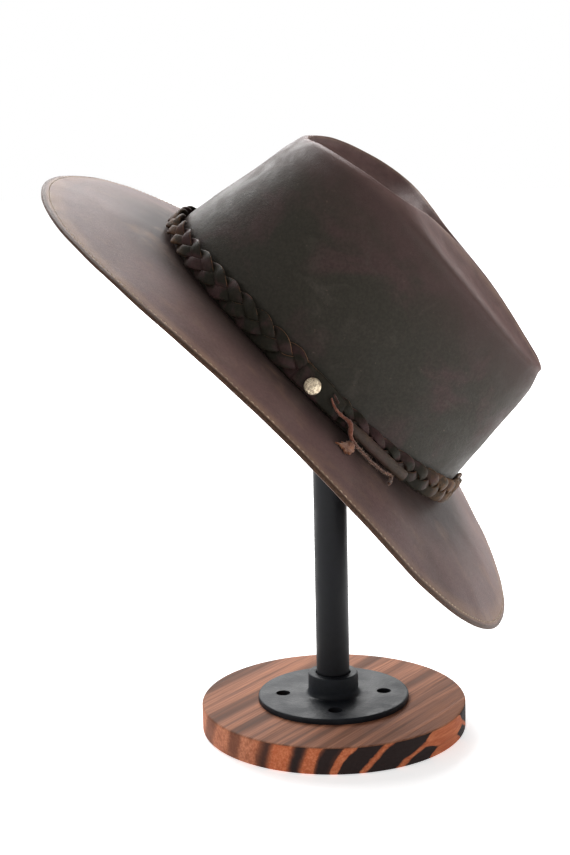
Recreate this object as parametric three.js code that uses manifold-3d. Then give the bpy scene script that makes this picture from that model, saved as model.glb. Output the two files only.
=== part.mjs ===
// A moulded leather fedora resting on an iron pipe stand with a round wooden base.
// Millimetres, +Z up. The origin is the centre of the wooden base's underside.
import * as THREE from 'three';
import Module from 'manifold-3d';
import { mergeVertices } from 'three/addons/utils/BufferGeometryUtils.js';

// ---- driving dimensions -------------------------------------------------------------------

const GAP = 0.3;                      // clearance between pieces that touch
const STATIONS = 56;                  // sections round the crown and the brim
const DEGREE = Math.PI / 180;

// Hat frame: +X to the front of the hat, +Z up through the crown, origin in the middle of the
// head opening. The hat hangs tilted on the pipe, so its frame is placed by these values.
const HAT_PLACE = new THREE.Vector3(-9.5, -5.2, 217.2);
const HAT_NOSE_DOWN = 45.7;           // degrees about Y
const HAT_LEAN = 6.3;                 // degrees about X
const HAT_TURN = -2.6;                // degrees about Z

const LEATHER = 2.0;                  // crown wall
const HEAD_HALF_LENGTH = 105;         // crown's outside at the brim
const HEAD_HALF_WIDTH = 86;
const HEAD_SADDLE = 2.4;              // the sides stand this much above, the ends below

const ROOF_CENTRE_X = 1.9;           // egg-shaped upper edge of the crown's walls
const ROOF_HALF_LENGTH = 91.7;
const ROOF_HALF_WIDTH = 55.5;
const ROOF_TAPER = 20;                // wider at the back, narrower at the front
const RIM_INSET = 3;                  // rounded rim of the dent
const RIM_STEP = 4.5;                 // short steep step inside the rim
const FACET_HOLLOW = 0.07;            // hollow of the pinched facets, as a share of their width
const RIM_ROUNDING = 0.15;            // the same, outward, where the facet shrinks to a rim
const DENT_FULL_DEPTH = 12;           // the rim's step is whole where the dent is this deep
const FLOOR_ROWS = [0.22, 0.46, 0.72, 1];
const FLOOR_CURVE = 1.7;
const ROOF_THICKENING = 1.15;         // the top's upright thickness, as it lies on a slope

const BRIM_THICKNESS = 2.4;
const BRIM_EDGE_X = { middle: 5.2, swing: 174.4, second: -2.7 };
const BRIM_EDGE_Y = { half: 160.4, fullness: 0.13 };
const BRIM_EDGE_Z = [-13.8, 2.7, -11.7, 1.5, 1.0];     // cosine terms 0 to 4 round the edge
const BRIM_EDGE_ROUND = 0.6;
const BRIM_ROWS = [0, 0.3, 0.65, 1];
const BRIM_FLARE = 0.5;               // share of the fall that is straight, the rest curves down
const COLLAR_HEIGHT = 12;             // the brim's upturned inner edge, inside the crown
const COLLAR_THICKNESS = 1.6;

const BRAID_HEIGHT = 7.8;             // band's centre line above the brim
const BRAID_PERIOD = 37.5;            // one full weave of a strand
const BRAID_PHASE = -48;              // where in its weave the first strand leaves the tab
const BRAID_SWING = 4.8;
const BRAID_LIFT = 1.9;
const BRAID_STRANDS = 3;
const STRAND_HALF_WIDTH = 2.5;
const STRAND_HALF_THICKNESS = 1.05;
const STRAND_SIDES = 6;
const STRAND_STEPS_PER_PERIOD = 8;
const KEEPER = { from: -94, to: -78.5, low: 0.6, high: 13.2, thickness: 5.9, steps: 8 };
const RIVET = { angle: -88.4, height: 5.7, radius: 4.5, dome: 1.7 };
const TAIL = { from: -73.2, to: -50, high: 4, low: 2.6, halfWidth: 3, halfThickness: 1.9, steps: 10 };

const LACE_DIAMETER = 1.8;
const LACE_SIDES = 8;
const LACE_STEPS = 24;
const LACE_TAG_THICKNESS = 1;

const BASE_RADIUS = 77;
const BASE_THICKNESS = 15.6;
const BASE_ROUNDING = 1.2;
const FLANGE_RADIUS = 44;
const FLANGE_THICKNESS = 3.3;
const FLANGE_BEVEL = 0.8;
const HUB_RADIUS = 14.6;
const HUB_FILLET = 3;
const HUB_HEIGHT = 16;                // above the flange's underside
const HUB_CHAMFER = 1.2;
const SCREW_CIRCLE = 29.5;
const SCREW_HOLES = 4;
const SCREW_HOLE_RADIUS = 4.2;
const PIPE_RADIUS = 9.6;
const PIPE_BORE = 7.4;
const PIPE_START = 5;                 // the threaded end's height inside the hub
const PIPE_ROUNDING = 3;              // closed, rounded top end
const PIPE_CROWN_WALL = 3;
const PIPE_TOP = 312.2;                 // above the wooden base's underside
const ROUND_SIDES = 32;

// Outward swell of the crown's wall at the front, the sides and the back, from its foot up.
const WALL_COLUMNS = ['share', 'front', 'side', 'back'];
const WALL_ROWS = [
  [0, 0, 0, 0],
  [0.15, 0.1, 1.6, 1.6],
  [0.35, 0.6, 3.2, 1.6],
  [0.55, 1.5, 4.0, 1.0],
  [0.75, 2.4, 3.6, 0.8],
  [0.88, 2.4, 2.2, 1.1],
  [1, 0, 0, 0],
];

// One row for each section of the crown's top, from the front round to the back. The angle is
// measured in plan from the front. Heights are above the head opening. The drop goes from the
// ridge down to the wall's upper edge, and the pinch draws the ridge in to the middle line.
const ROOF_COLUMNS = ['angle', 'ridgeZ', 'drop', 'pinch', 'valleyX', 'valleyZ'];
const ROOF_ROWS = [
  [0, 88.0, 3.0, 0.60, 87, 90.4],
  [20, 90.2, 3.2, 0.75, 83, 91.6],
  [35, 92.8, 4.8, 0.84, 72, 94.2],
  [50, 96.6, 6.6, 0.88, 56, 97.6],
  [63, 99.9, 7.2, 0.89, 40, 100.6],
  [74, 102.0, 6.9, 0.89, 25.5, 102.5],
  [82, 103.0, 6.5, 0.88, 15, 103.0],
  [89, 103.9, 6.2, 0.81, 6, 101.5],
  [95, 104.4, 5.9, 0.67, -4, 95],
  [101, 104.5, 5.4, 0.47, -15, 86],
  [106, 104.0, 4.5, 0.24, -24, 81],
  [111, 103.3, 3.7, 0.085, -31, 79],
  [117, 102.1, 2.6, 0, -38, 78.5],
  [126, 99.9, 2.5, 0, -44, 78.5],
  [140, 95.9, 2.5, 0, -50, 79],
  [155, 91.4, 2.5, 0, -54, 79.5],
  [168, 87.5, 2.5, 0, -55.5, 80],
  [180, 86.0, 2.5, 0, -56, 80],
];

// The braid sinks and tightens beside the strap's tail and round the back. Angles run on past
// 180 to where the braid meets the tab again.
const BRAID_COLUMNS = ['angle', 'height', 'spread'];
const BRAID_ROWS = [
  [-80, 7.0, 0.84],
  [-68, 6.2, 0.76],
  [-58, 6.3, 0.78],
  [-48, 6.8, 0.85],
  [-35, 7.5, 0.96],
  [-20, 7.8, 1],
  [120, 7.8, 1],
  [160, 6.8, 0.87],
  [200, 6.8, 0.87],
  [225, 7.5, 0.96],
  [240, 7.8, 1],
  [270, 7.8, 1],
];

// The lace comes out of the tab's slit, drops over the strap's tail and runs forward beside it:
// the angle round the crown, the height above the wall's foot and the distance out from it.
const LACE_COLUMNS = ['angle', 'height', 'out'];
const LACE_ROWS = [
  [-82.7, 7.9, 7.5],
  [-81.4, 6.5, 7.5],
  [-80.0, 5.5, 7.5],
  [-78.6, 5.1, 7.5],
  [-77.2, 5.0, 7.9],
  [-75.9, 5.2, 8.7],
  [-74.8, 5.0, 9.8],
  [-74.0, 3.9, 11.2],
  [-73.3, 1.9, 12.1],
  [-72.4, 0.2, 12.4],
  [-71.3, -0.7, 12.4],
  [-69.9, -1.2, 12.3],
  [-67.4, -1.8, 12.1],
  [-64.8, -2.4, 12.1],
  [-62.6, -2.5, 12.1],
  [-60.1, -2.5, 11.9],
  [-57.6, -2.1, 11.9],
  [-56.5, -1.6, 11.9],
  [-55.7, -1.4, 12.1],
  [-55.3, -1.9, 12.8],
  [-55.4, -3.1, 14.4],
  [-56.1, -4.4, 17.0],
  [-56.9, -5.4, 19.4],
];

// Corners of the lace's flat frayed piece, which leans from the lace down to the brim: the angle
// round the crown, the distance out from the wall's foot in plan and the rise above the brim.
const LACE_TAG_COLUMNS = ['angle', 'out', 'rise'];
const LACE_TAG_ROWS = [
  [-72.3, 13.9, 3.1],
  [-73.8, 16.0, 1.3],
  [-77.3, 26.1, 0.3],
  [-75.7, 26.6, 0.3],
  [-74.9, 28.5, 0.3],
  [-73.0, 24.3, 0.3],
  [-71.1, 17.7, 0.6],
  [-71.4, 16.2, 2.3],
];

// ---- tables and solids --------------------------------------------------------------------

const wasm = await Module();
wasm.setup();

// Smooth value of one column at a key, by a cubic through the neighbouring rows.
function lookUp(columns, rows, column, key) {
  const c = columns.indexOf(column);
  const last = rows.length - 1;
  const above = rows.findIndex((row) => row[0] > key);
  const i = above < 0 ? last - 1 : Math.max(0, above - 1);
  const slope = (k) => {
    const a = rows[Math.max(0, k - 1)];
    const b = rows[Math.min(last, k + 1)];
    return (b[c] - a[c]) / (b[0] - a[0]);
  };
  const span = rows[i + 1][0] - rows[i][0];
  const t = (key - rows[i][0]) / span;
  const blend = t * t * (3 - 2 * t);
  const bend = t * (1 - t) * span * (slope(i) * (1 - t) - slope(i + 1) * t);
  return rows[i][c] + (rows[i + 1][c] - rows[i][c]) * blend + bend;
}

function geometryFrom(points, triangles) {
  const geometry = new THREE.BufferGeometry();
  geometry.setAttribute('position', new THREE.Float32BufferAttribute(points.flatMap((p) => [p.x, p.y, p.z]), 3));
  geometry.setIndex(triangles);
  return geometry;
}

function signedVolume(points, triangles) {
  let volume = 0;
  for (let i = 0; i < triangles.length; i += 3) {
    const [a, b, c] = triangles.slice(i, i + 3).map((k) => points[k]);
    volume += a.dot(b.clone().cross(c)) / 6;
  }
  return volume;
}

// Turns every face over if they point inwards.
function facedOutwards(points, triangles) {
  if (signedVolume(points, triangles) > 0) {
    return geometryFrom(points, triangles);
  }
  return geometryFrom(points, triangles.slice().reverse());
}

// Skin over equal closed loops of points: a ring that meets itself, or a bar with flat ends.
function loft(loops, meetsItself) {
  const n = loops[0].length;
  const rows = loops.length;
  const points = loops.flat();
  const triangles = [];
  for (let i = 0; i < (meetsItself ? rows : rows - 1); i += 1) {
    for (let j = 0; j < n; j += 1) {
      const a = i * n + j;
      const b = i * n + ((j + 1) % n);
      const c = ((i + 1) % rows) * n + j;
      const d = ((i + 1) % rows) * n + ((j + 1) % n);
      triangles.push(a, c, b, b, c, d);
    }
  }
  if (!meetsItself) {
    for (const [row, turned] of [[0, false], [rows - 1, true]]) {
      const middle = new THREE.Vector3();
      loops[row].forEach((p) => middle.addScaledVector(p, 1 / n));
      points.push(middle);
      for (let j = 0; j < n; j += 1) {
        const a = row * n + j;
        const b = row * n + ((j + 1) % n);
        triangles.push(points.length - 1, turned ? b : a, turned ? a : b);
      }
    }
  }
  return facedOutwards(points, triangles);
}

function toSolid(geometry) {
  const bare = geometry.clone();
  bare.deleteAttribute('normal');
  bare.deleteAttribute('uv');
  const merged = mergeVertices(bare, 1e-4);
  return new wasm.Manifold(new wasm.Mesh({
    numProp: 3,
    vertProperties: new Float32Array(merged.attributes.position.array),
    triVerts: new Uint32Array(merged.index.array),
  }));
}

function fromSolid(solid) {
  const mesh = solid.getMesh();
  const geometry = new THREE.BufferGeometry();
  geometry.setAttribute('position', new THREE.BufferAttribute(mesh.vertProperties, 3));
  geometry.setIndex(new THREE.BufferAttribute(mesh.triVerts, 1));
  return geometry;
}

// A turned piece about Z, from its half outline of [radius, height] pairs.
function turned(outline, sides = ROUND_SIDES) {
  const profile = outline.map(([r, z]) => new THREE.Vector2(r, z));
  return new THREE.LatheGeometry(profile, sides).rotateX(Math.PI / 2);
}

// ---- the crown's surface ------------------------------------------------------------------

const planOutward = (angle) => new THREE.Vector3(
  Math.cos(angle) / HEAD_HALF_LENGTH, Math.sin(angle) / HEAD_HALF_WIDTH, 0).normalize();

const turnFromFront = (angle) => Math.acos(Math.cos(angle)) / DEGREE;

const roof = (column, angle) => lookUp(ROOF_COLUMNS, ROOF_ROWS, column, turnFromFront(angle));

// Foot of the crown's wall, where the brim begins.
function wallFoot(angle) {
  return new THREE.Vector3(
    HEAD_HALF_LENGTH * Math.cos(angle),
    HEAD_HALF_WIDTH * Math.sin(angle),
    -HEAD_SADDLE * Math.cos(2 * angle));
}

// Upper edge of the crown's wall, an egg in plan.
function wallEdge(angle) {
  return new THREE.Vector3(
    ROOF_CENTRE_X + ROOF_HALF_LENGTH * Math.cos(angle),
    (ROOF_HALF_WIDTH - ROOF_TAPER * Math.cos(angle)) * Math.sin(angle),
    roof('ridgeZ', angle) - roof('drop', angle));
}

// A point of the wall, from 0 at its foot to 1 at its upper edge.
function wallPoint(angle, share) {
  const c = Math.cos(angle);
  const ends = c > 0 ? 'front' : 'back';
  const swell = lookUp(WALL_COLUMNS, WALL_ROWS, ends, share) * c * c
    + lookUp(WALL_COLUMNS, WALL_ROWS, 'side', share) * (1 - c * c);
  return wallFoot(angle).lerp(wallEdge(angle), share).addScaledVector(planOutward(angle), swell);
}

// Ridge round the dent. It runs on to the front as the nose between the pinched facets.
function ridgePoint(angle) {
  const edge = wallEdge(angle);
  const half = (edge.y - RIM_INSET * Math.sin(angle)) * (1 - roof('pinch', angle));
  const back = RIM_INSET * Math.max(0, -Math.cos(angle));
  return new THREE.Vector3(edge.x + back, half, roof('ridgeZ', angle));
}

// Point on the wall at a height above its foot, pushed out square to the wall.
function besideWall(angle, height, out) {
  const share = height / (wallEdge(angle).z - wallFoot(angle).z);
  const step = 1e-3;
  const along = wallPoint(angle + step, share).sub(wallPoint(angle - step, share));
  const up = wallPoint(angle, share + step).sub(wallPoint(angle, share - step));
  const outward = along.cross(up).normalize();
  return wallPoint(angle, share).addScaledVector(outward, out);
}

// One section of the crown's outside, from the foot of the wall to the middle of the top.
function crownSection(angle) {
  const edge = wallEdge(angle);
  const ridge = ridgePoint(angle);
  const valley = new THREE.Vector3(roof('valleyX', angle), 0, roof('valleyZ', angle));
  const width = Math.hypot(edge.x - ridge.x, edge.y - ridge.y);
  const pinch = roof('pinch', angle);
  const middle = edge.clone().lerp(ridge, 0.5);
  middle.z -= width * (FACET_HOLLOW * pinch - RIM_ROUNDING * (1 - pinch));
  const reach = Math.hypot(valley.x - ridge.x, valley.y - ridge.y);
  const depth = Math.min(1, Math.max(0, (ridge.z - valley.z) / DENT_FULL_DEPTH));
  const rimFoot = ridge.clone().lerp(valley, Math.min(0.4, RIM_INSET / reach));
  rimFoot.z = ridge.z - RIM_STEP * depth + (valley.z - ridge.z) * 0.1 * (1 - depth);
  const floor = FLOOR_ROWS.map((share) => {
    const point = rimFoot.clone().lerp(valley, share);
    const fall = 1 - (1 - share) ** FLOOR_CURVE;
    point.z = rimFoot.z + (valley.z - rimFoot.z) * fall;
    return point;
  });
  return [...WALL_ROWS.map(([share]) => wallPoint(angle, share)), middle, ridge, rimFoot, ...floor];
}

// ---- the hat's pieces, in the hat frame ---------------------------------------------------

const stationAngles = Array.from({ length: STATIONS }, (_, i) => (2 * Math.PI * i) / STATIONS);

// A leather shell: the outside, the same surface offset inwards, and the cut edge at the foot.
function crownGeometry() {
  const sections = stationAngles.map(crownSection);
  const rows = sections[0].length - 1;
  const valleyStart = STATIONS * rows;
  const outside = sections.flatMap((section) => section.slice(0, rows));
  for (let i = 0; i <= STATIONS / 2; i += 1) {
    outside.push(sections[i][rows]);
  }
  const at = (i, j) => {
    const k = i % STATIONS;
    return j < rows ? k * rows + j : valleyStart + Math.min(k, STATIONS - k);
  };
  const skin = [];
  for (let i = 0; i < STATIONS; i += 1) {
    for (let j = 0; j < rows; j += 1) {
      skin.push(at(i, j), at(i + 1, j), at(i + 1, j + 1));
      if (at(i, j + 1) !== at(i + 1, j + 1)) {
        skin.push(at(i, j), at(i + 1, j + 1), at(i, j + 1));
      }
    }
  }
  const sheet = geometryFrom(outside, skin);
  sheet.computeVertexNormals();
  const normals = sheet.attributes.normal;
  const inside = outside.map((point, k) => {
    const normal = new THREE.Vector3().fromBufferAttribute(normals, k);
    const row = k < valleyStart ? k % rows : rows;
    if (row === 0) {
      normal.setZ(0).normalize();
    }
    if (row > WALL_ROWS.length) {
      normal.set(0, 0, ROOF_THICKENING);
    }
    return point.clone().addScaledVector(normal, -LEATHER);
  });
  const count = outside.length;
  const triangles = [...skin];
  for (let k = 0; k < skin.length; k += 3) {
    triangles.push(count + skin[k], count + skin[k + 2], count + skin[k + 1]);
  }
  for (let i = 0; i < STATIONS; i += 1) {
    const a = at(i, 0);
    const b = at(i + 1, 0);
    triangles.push(a, count + a, b, b, count + a, count + b);
  }
  return facedOutwards([...outside, ...inside], triangles);
}

function brimEdge(angle) {
  const c = Math.cos(angle);
  return new THREE.Vector3(
    BRIM_EDGE_X.middle + BRIM_EDGE_X.swing * c + BRIM_EDGE_X.second * Math.cos(2 * angle),
    BRIM_EDGE_Y.half * Math.sin(angle) * (1 + BRIM_EDGE_Y.fullness * c * c),
    BRIM_EDGE_Z.reduce((sum, term, k) => sum + term * Math.cos(k * angle), 0));
}

// The brim's top, from 0 at the crown to 1 at the edge.
function brimPoint(angle, share) {
  const foot = wallFoot(angle);
  const edge = brimEdge(angle);
  const fall = BRIM_FLARE * share + (1 - BRIM_FLARE) * share * share;
  return new THREE.Vector3(
    foot.x + (edge.x - foot.x) * share,
    foot.y + (edge.y - foot.y) * share,
    foot.z - GAP + (edge.z - foot.z) * fall);
}

// One section of the brim: up the collar, out over the top, round the edge and back below.
function brimSection(angle) {
  const collar = (height, depth) => besideWall(angle, height, -depth);
  const outer = LEATHER + GAP;
  const inner = outer + COLLAR_THICKNESS;
  const top = BRIM_ROWS.map((share) => brimPoint(angle, share));
  const below = top.map((p) => p.clone().setZ(p.z - BRIM_THICKNESS)).reverse();
  const rim = top[top.length - 1].clone().addScaledVector(planOutward(angle), BRIM_EDGE_ROUND);
  rim.z -= BRIM_THICKNESS / 2;
  const rootTop = collar(0, outer).setZ(top[0].z);
  const rootBelow = collar(0, inner).setZ(top[0].z - BRIM_THICKNESS);
  return [collar(COLLAR_HEIGHT, outer), rootTop, ...top, rim, ...below, rootBelow,
    collar(COLLAR_HEIGHT, inner)];
}

// Angles that divide a line beside the wall into equal steps.
function evenAngles(from, to, height, out, steps) {
  const fine = 720;
  const angles = Array.from({ length: fine + 1 }, (_, i) => from + ((to - from) * i) / fine);
  const lengths = [0];
  for (let i = 1; i <= fine; i += 1) {
    const here = besideWall(angles[i], height, out);
    lengths.push(lengths[i - 1] + here.distanceTo(besideWall(angles[i - 1], height, out)));
  }
  const total = lengths[fine];
  const angleAt = (length) => {
    const k = Math.min(fine - 1, Math.max(0, lengths.findIndex((l) => l > length) - 1));
    const t = (length - lengths[k]) / (lengths[k + 1] - lengths[k]);
    return angles[k] + (angles[k + 1] - angles[k]) * t;
  };
  const stops = Array.from({ length: steps + 1 }, (_, i) => (total * i) / steps);
  return { total, stops: stops.map((length) => ({ length, angle: angleAt(Math.min(length, total * 0.99999)) })) };
}

// A flat bar beside the wall. The centre function gives height, distance out and half width at
// each stop.
function bandBar(stops, centre, halfThickness, sides) {
  const centres = stops.map((stop) => {
    const { height, out } = centre(stop);
    return besideWall(stop.angle, height, out);
  });
  const loops = stops.map((stop, i) => {
    const ahead = centres[Math.min(i + 1, centres.length - 1)];
    const behind = centres[Math.max(i - 1, 0)];
    const along = ahead.clone().sub(behind).normalize();
    const { height, halfWidth } = centre(stop);
    const outward = besideWall(stop.angle, height, 1).sub(besideWall(stop.angle, height, 0));
    const across = outward.clone().cross(along).normalize();
    const thick = along.clone().cross(across).normalize();
    return Array.from({ length: sides }, (_, k) => {
      const turn = (2 * Math.PI * (k + 0.5)) / sides;
      return centres[i].clone()
        .addScaledVector(across, halfWidth * Math.cos(turn))
        .addScaledVector(thick, halfThickness * Math.sin(turn));
    });
  });
  return loft(loops, false);
}

function strandGeometry(number) {
  const endGap = 1.6 * DEGREE;
  const from = KEEPER.to * DEGREE + endGap;
  const to = (KEEPER.from + 360) * DEGREE - endGap;
  const out = GAP + BRAID_LIFT + STRAND_HALF_THICKNESS;
  const { total } = evenAngles(from, to, BRAID_HEIGHT, out, 1);
  const periods = Math.round(total / BRAID_PERIOD);
  const { stops } = evenAngles(from, to, BRAID_HEIGHT, out, periods * STRAND_STEPS_PER_PERIOD);
  const phase = BRAID_PHASE * DEGREE + (2 * Math.PI * number) / BRAID_STRANDS;
  const weave = ({ length, angle }) => {
    const turn = (2 * Math.PI * periods * length) / total + phase;
    const spread = lookUp(BRAID_COLUMNS, BRAID_ROWS, 'spread', angle / DEGREE);
    const height = lookUp(BRAID_COLUMNS, BRAID_ROWS, 'height', angle / DEGREE);
    return {
      height: height + spread * BRAID_SWING * Math.sin(turn),
      out: out - BRAID_LIFT * Math.sin(2 * turn),
      halfWidth: spread * STRAND_HALF_WIDTH,
    };
  };
  return bandBar(stops, weave, STRAND_HALF_THICKNESS, STRAND_SIDES);
}

// The flat tab over the joint of the band.
function keeperGeometry() {
  const { stops } = evenAngles(KEEPER.from * DEGREE, KEEPER.to * DEGREE, BRAID_HEIGHT, GAP, KEEPER.steps);
  const corner = 1.2;
  const loops = stops.map(({ angle }) => [
    besideWall(angle, KEEPER.low, GAP),
    besideWall(angle, KEEPER.low, GAP + KEEPER.thickness - corner),
    besideWall(angle, KEEPER.low + corner, GAP + KEEPER.thickness),
    besideWall(angle, KEEPER.high - corner, GAP + KEEPER.thickness),
    besideWall(angle, KEEPER.high, GAP + KEEPER.thickness - corner),
    besideWall(angle, KEEPER.high, GAP),
  ]);
  return loft(loops, false);
}

// The strap's rolled tail, beside the braid and sinking towards its cut end.
function tailGeometry() {
  const out = 2 * GAP + 2 * (BRAID_LIFT + STRAND_HALF_THICKNESS) + TAIL.halfThickness;
  const { stops, total } = evenAngles(TAIL.from * DEGREE, TAIL.to * DEGREE, TAIL.high, out, TAIL.steps);
  const sinking = ({ length }) => ({
    height: TAIL.high + (TAIL.low - TAIL.high) * (length / total),
    out,
    halfWidth: TAIL.halfWidth,
  });
  return bandBar(stops, sinking, TAIL.halfThickness, 8);
}

function laceGeometry() {
  const [angle, height, out] = LACE_COLUMNS.map((column) => LACE_COLUMNS.indexOf(column));
  const route = LACE_ROWS.map((row) => besideWall(row[angle] * DEGREE, row[height], row[out]));
  const outline = new THREE.Shape();
  for (let k = 0; k < LACE_SIDES; k += 1) {
    const turn = (2 * Math.PI * k) / LACE_SIDES;
    const corner = [(LACE_DIAMETER / 2) * Math.cos(turn), (LACE_DIAMETER / 2) * Math.sin(turn)];
    outline[k === 0 ? 'moveTo' : 'lineTo'](...corner);
  }
  return new THREE.ExtrudeGeometry(outline, {
    steps: LACE_STEPS,
    bevelEnabled: false,
    extrudePath: new THREE.CatmullRomCurve3(route, false, 'centripetal'),
  });
}

// Point above the brim's top at a distance out from the wall's foot.
function aboveBrim(angle, out, rise) {
  const foot = wallFoot(angle);
  const edge = brimEdge(angle);
  const point = brimPoint(angle, out / Math.hypot(edge.x - foot.x, edge.y - foot.y));
  point.z += rise;
  return point;
}

function laceTagGeometry() {
  const [angle, out, rise] = LACE_TAG_COLUMNS.map((column) => LACE_TAG_COLUMNS.indexOf(column));
  const loops = [0, LACE_TAG_THICKNESS].map((lift) => (
    LACE_TAG_ROWS.map((row) => aboveBrim(row[angle] * DEGREE, row[out], row[rise] + lift))));
  return loft(loops, false);
}

function rivetMesh(material) {
  const seat = GAP + KEEPER.thickness + GAP;
  const { radius, dome } = RIVET;
  const geometry = turned([
    [0, 0], [radius * 0.94, 0], [radius, 0.5], [radius * 0.92, dome * 0.55],
    [radius * 0.62, dome * 0.88], [0, dome],
  ], 24);
  const mesh = piece('rivet', geometry, material);
  const angle = RIVET.angle * DEGREE;
  mesh.position.copy(besideWall(angle, RIVET.height, seat));
  const outward = besideWall(angle, RIVET.height, 1).sub(besideWall(angle, RIVET.height, 0));
  mesh.quaternion.setFromUnitVectors(new THREE.Vector3(0, 0, 1), outward.normalize());
  return mesh;
}

// ---- the stand ----------------------------------------------------------------------------

function baseGeometry() {
  const r = BASE_RADIUS;
  const e = BASE_ROUNDING;
  const t = BASE_THICKNESS;
  return turned([[0, 0], [r, 0], [r, t - e], [r - e, t], [0, t]], 56);
}

function flangeGeometry() {
  const t = FLANGE_THICKNESS;
  const bore = PIPE_RADIUS + GAP;
  const body = turned([
    [bore, 0], [FLANGE_RADIUS - FLANGE_BEVEL, 0], [FLANGE_RADIUS, FLANGE_BEVEL],
    [FLANGE_RADIUS, t - FLANGE_BEVEL], [FLANGE_RADIUS - FLANGE_BEVEL, t],
    [HUB_RADIUS + HUB_FILLET, t], [HUB_RADIUS + HUB_FILLET * 0.3, t + HUB_FILLET * 0.3],
    [HUB_RADIUS, t + HUB_FILLET], [HUB_RADIUS, HUB_HEIGHT - HUB_CHAMFER],
    [HUB_RADIUS - HUB_CHAMFER, HUB_HEIGHT], [bore + HUB_CHAMFER, HUB_HEIGHT],
    [bore, HUB_HEIGHT - HUB_CHAMFER], [bore, 0],
  ]);
  let solid = toSolid(body);
  for (let k = 0; k < SCREW_HOLES; k += 1) {
    const turn = (2 * Math.PI * k) / SCREW_HOLES;
    const drill = new THREE.CylinderGeometry(SCREW_HOLE_RADIUS, SCREW_HOLE_RADIUS, 4 * t, 24);
    drill.rotateX(Math.PI / 2);
    drill.translate(SCREW_CIRCLE * Math.cos(turn), SCREW_CIRCLE * Math.sin(turn), t / 2);
    solid = solid.subtract(toSolid(drill));
  }
  return fromSolid(solid);
}

function pipeGeometry(length) {
  const chamfer = 0.8;
  const r = PIPE_RADIUS;
  const e = PIPE_ROUNDING;
  return turned([
    [0, length - PIPE_CROWN_WALL], [PIPE_BORE, length - PIPE_CROWN_WALL], [PIPE_BORE, 0],
    [r - chamfer, 0], [r, chamfer], [r, length - e], [r - e * 0.3, length - e * 0.3],
    [r - e, length], [0, length],
  ]);
}

// ---- the assembly -------------------------------------------------------------------------

function finish(color, roughness, metalness = 0) {
  return new THREE.MeshStandardMaterial({ color, roughness, metalness });
}

function piece(name, geometry, material) {
  const mesh = new THREE.Mesh(geometry, material);
  mesh.name = name;
  return mesh;
}

const crownLeather = finish(0x42382f, 0.55);
const brimLeather = finish(0x55443d, 0.5);
const bandLeather = finish(0x3b2b24, 0.5);
const suede = finish(0x7a4130, 0.9);
const rivetMetal = finish(0xb9a88a, 0.4, 0.9);
const wood = finish(0x8a5a44, 0.7);
const iron = finish(0x2b2f33, 0.45, 0.6);

const hat = new THREE.Group();
hat.rotation.set(HAT_LEAN * DEGREE, HAT_NOSE_DOWN * DEGREE, HAT_TURN * DEGREE, 'YXZ');
hat.position.copy(HAT_PLACE);
hat.add(piece('crown', crownGeometry(), crownLeather));
hat.add(piece('brim', loft(stationAngles.map(brimSection), true), brimLeather));
for (let number = 0; number < BRAID_STRANDS; number += 1) {
  hat.add(piece(`braid_strand_${number + 1}`, strandGeometry(number), bandLeather));
}
hat.add(piece('band_keeper', keeperGeometry(), bandLeather));
hat.add(rivetMesh(rivetMetal));
hat.add(piece('strap_tail', tailGeometry(), bandLeather));
hat.add(piece('lace', laceGeometry(), suede));
hat.add(piece('lace_tag', laceTagGeometry(), suede));

const stand = new THREE.Group();
stand.add(piece('wood_base', baseGeometry(), wood));
const flange = piece('floor_flange', flangeGeometry(), iron);
flange.position.z = BASE_THICKNESS;
stand.add(flange);
const pipeBottom = BASE_THICKNESS + PIPE_START;
const pipe = piece('pipe', pipeGeometry(PIPE_TOP - pipeBottom), iron);
pipe.position.z = pipeBottom;
stand.add(pipe);

const group = new THREE.Group();
group.add(hat, stand);
export default group;
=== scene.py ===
"""A moulded leather fedora, tilted on an iron pipe stand with a round wooden base.

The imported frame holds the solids. This script gives each of them its finished surface: the
crown with its dent and pinched nose, the brim with its stitched edge, the three-strand braid
with its tab, rivet, lace and tail, and the stand's turned iron and charred pine.

The hat is worked out in its own frame, in millimetres: +X to the front of the hat, +Z up
through the crown, and the origin in the middle of the head opening. Angles run round the
crown from its front. HatForm.placed turns those points into the row frame, in metres.
"""

import logging
import math
from dataclasses import dataclass
from enum import Enum
from typing import Optional, Sequence, Union

import bpy
import numpy as np
from mathutils import Matrix, Vector, noise

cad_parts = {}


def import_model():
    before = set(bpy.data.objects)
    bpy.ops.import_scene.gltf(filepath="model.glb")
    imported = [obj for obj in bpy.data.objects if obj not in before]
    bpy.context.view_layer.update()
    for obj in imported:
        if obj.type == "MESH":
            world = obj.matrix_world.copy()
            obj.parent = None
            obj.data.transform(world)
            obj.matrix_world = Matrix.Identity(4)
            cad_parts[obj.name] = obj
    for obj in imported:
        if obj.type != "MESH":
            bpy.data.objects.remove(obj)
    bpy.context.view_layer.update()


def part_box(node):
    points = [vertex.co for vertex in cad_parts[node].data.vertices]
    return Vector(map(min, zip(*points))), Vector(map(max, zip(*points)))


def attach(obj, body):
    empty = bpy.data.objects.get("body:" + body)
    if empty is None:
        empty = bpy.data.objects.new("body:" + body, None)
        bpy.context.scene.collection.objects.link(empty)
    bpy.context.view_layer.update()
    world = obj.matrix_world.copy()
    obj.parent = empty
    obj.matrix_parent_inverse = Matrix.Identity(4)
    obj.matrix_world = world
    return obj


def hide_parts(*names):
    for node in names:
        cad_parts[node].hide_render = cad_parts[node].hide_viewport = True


LOG = logging.getLogger("fedora")
MM = 0.001
BODY = "root"
FULL_TURN = 2.0 * math.pi
GAP = 0.3
SAME_POINT = 2e-6

Array = np.ndarray
Socket = bpy.types.NodeSocket
Material = bpy.types.Material
Piece = bpy.types.Object
Triple = tuple[float, float, float]
Colour = Triple
Value = Union[Socket, float, Colour]
Face = tuple[int, ...]


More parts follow.
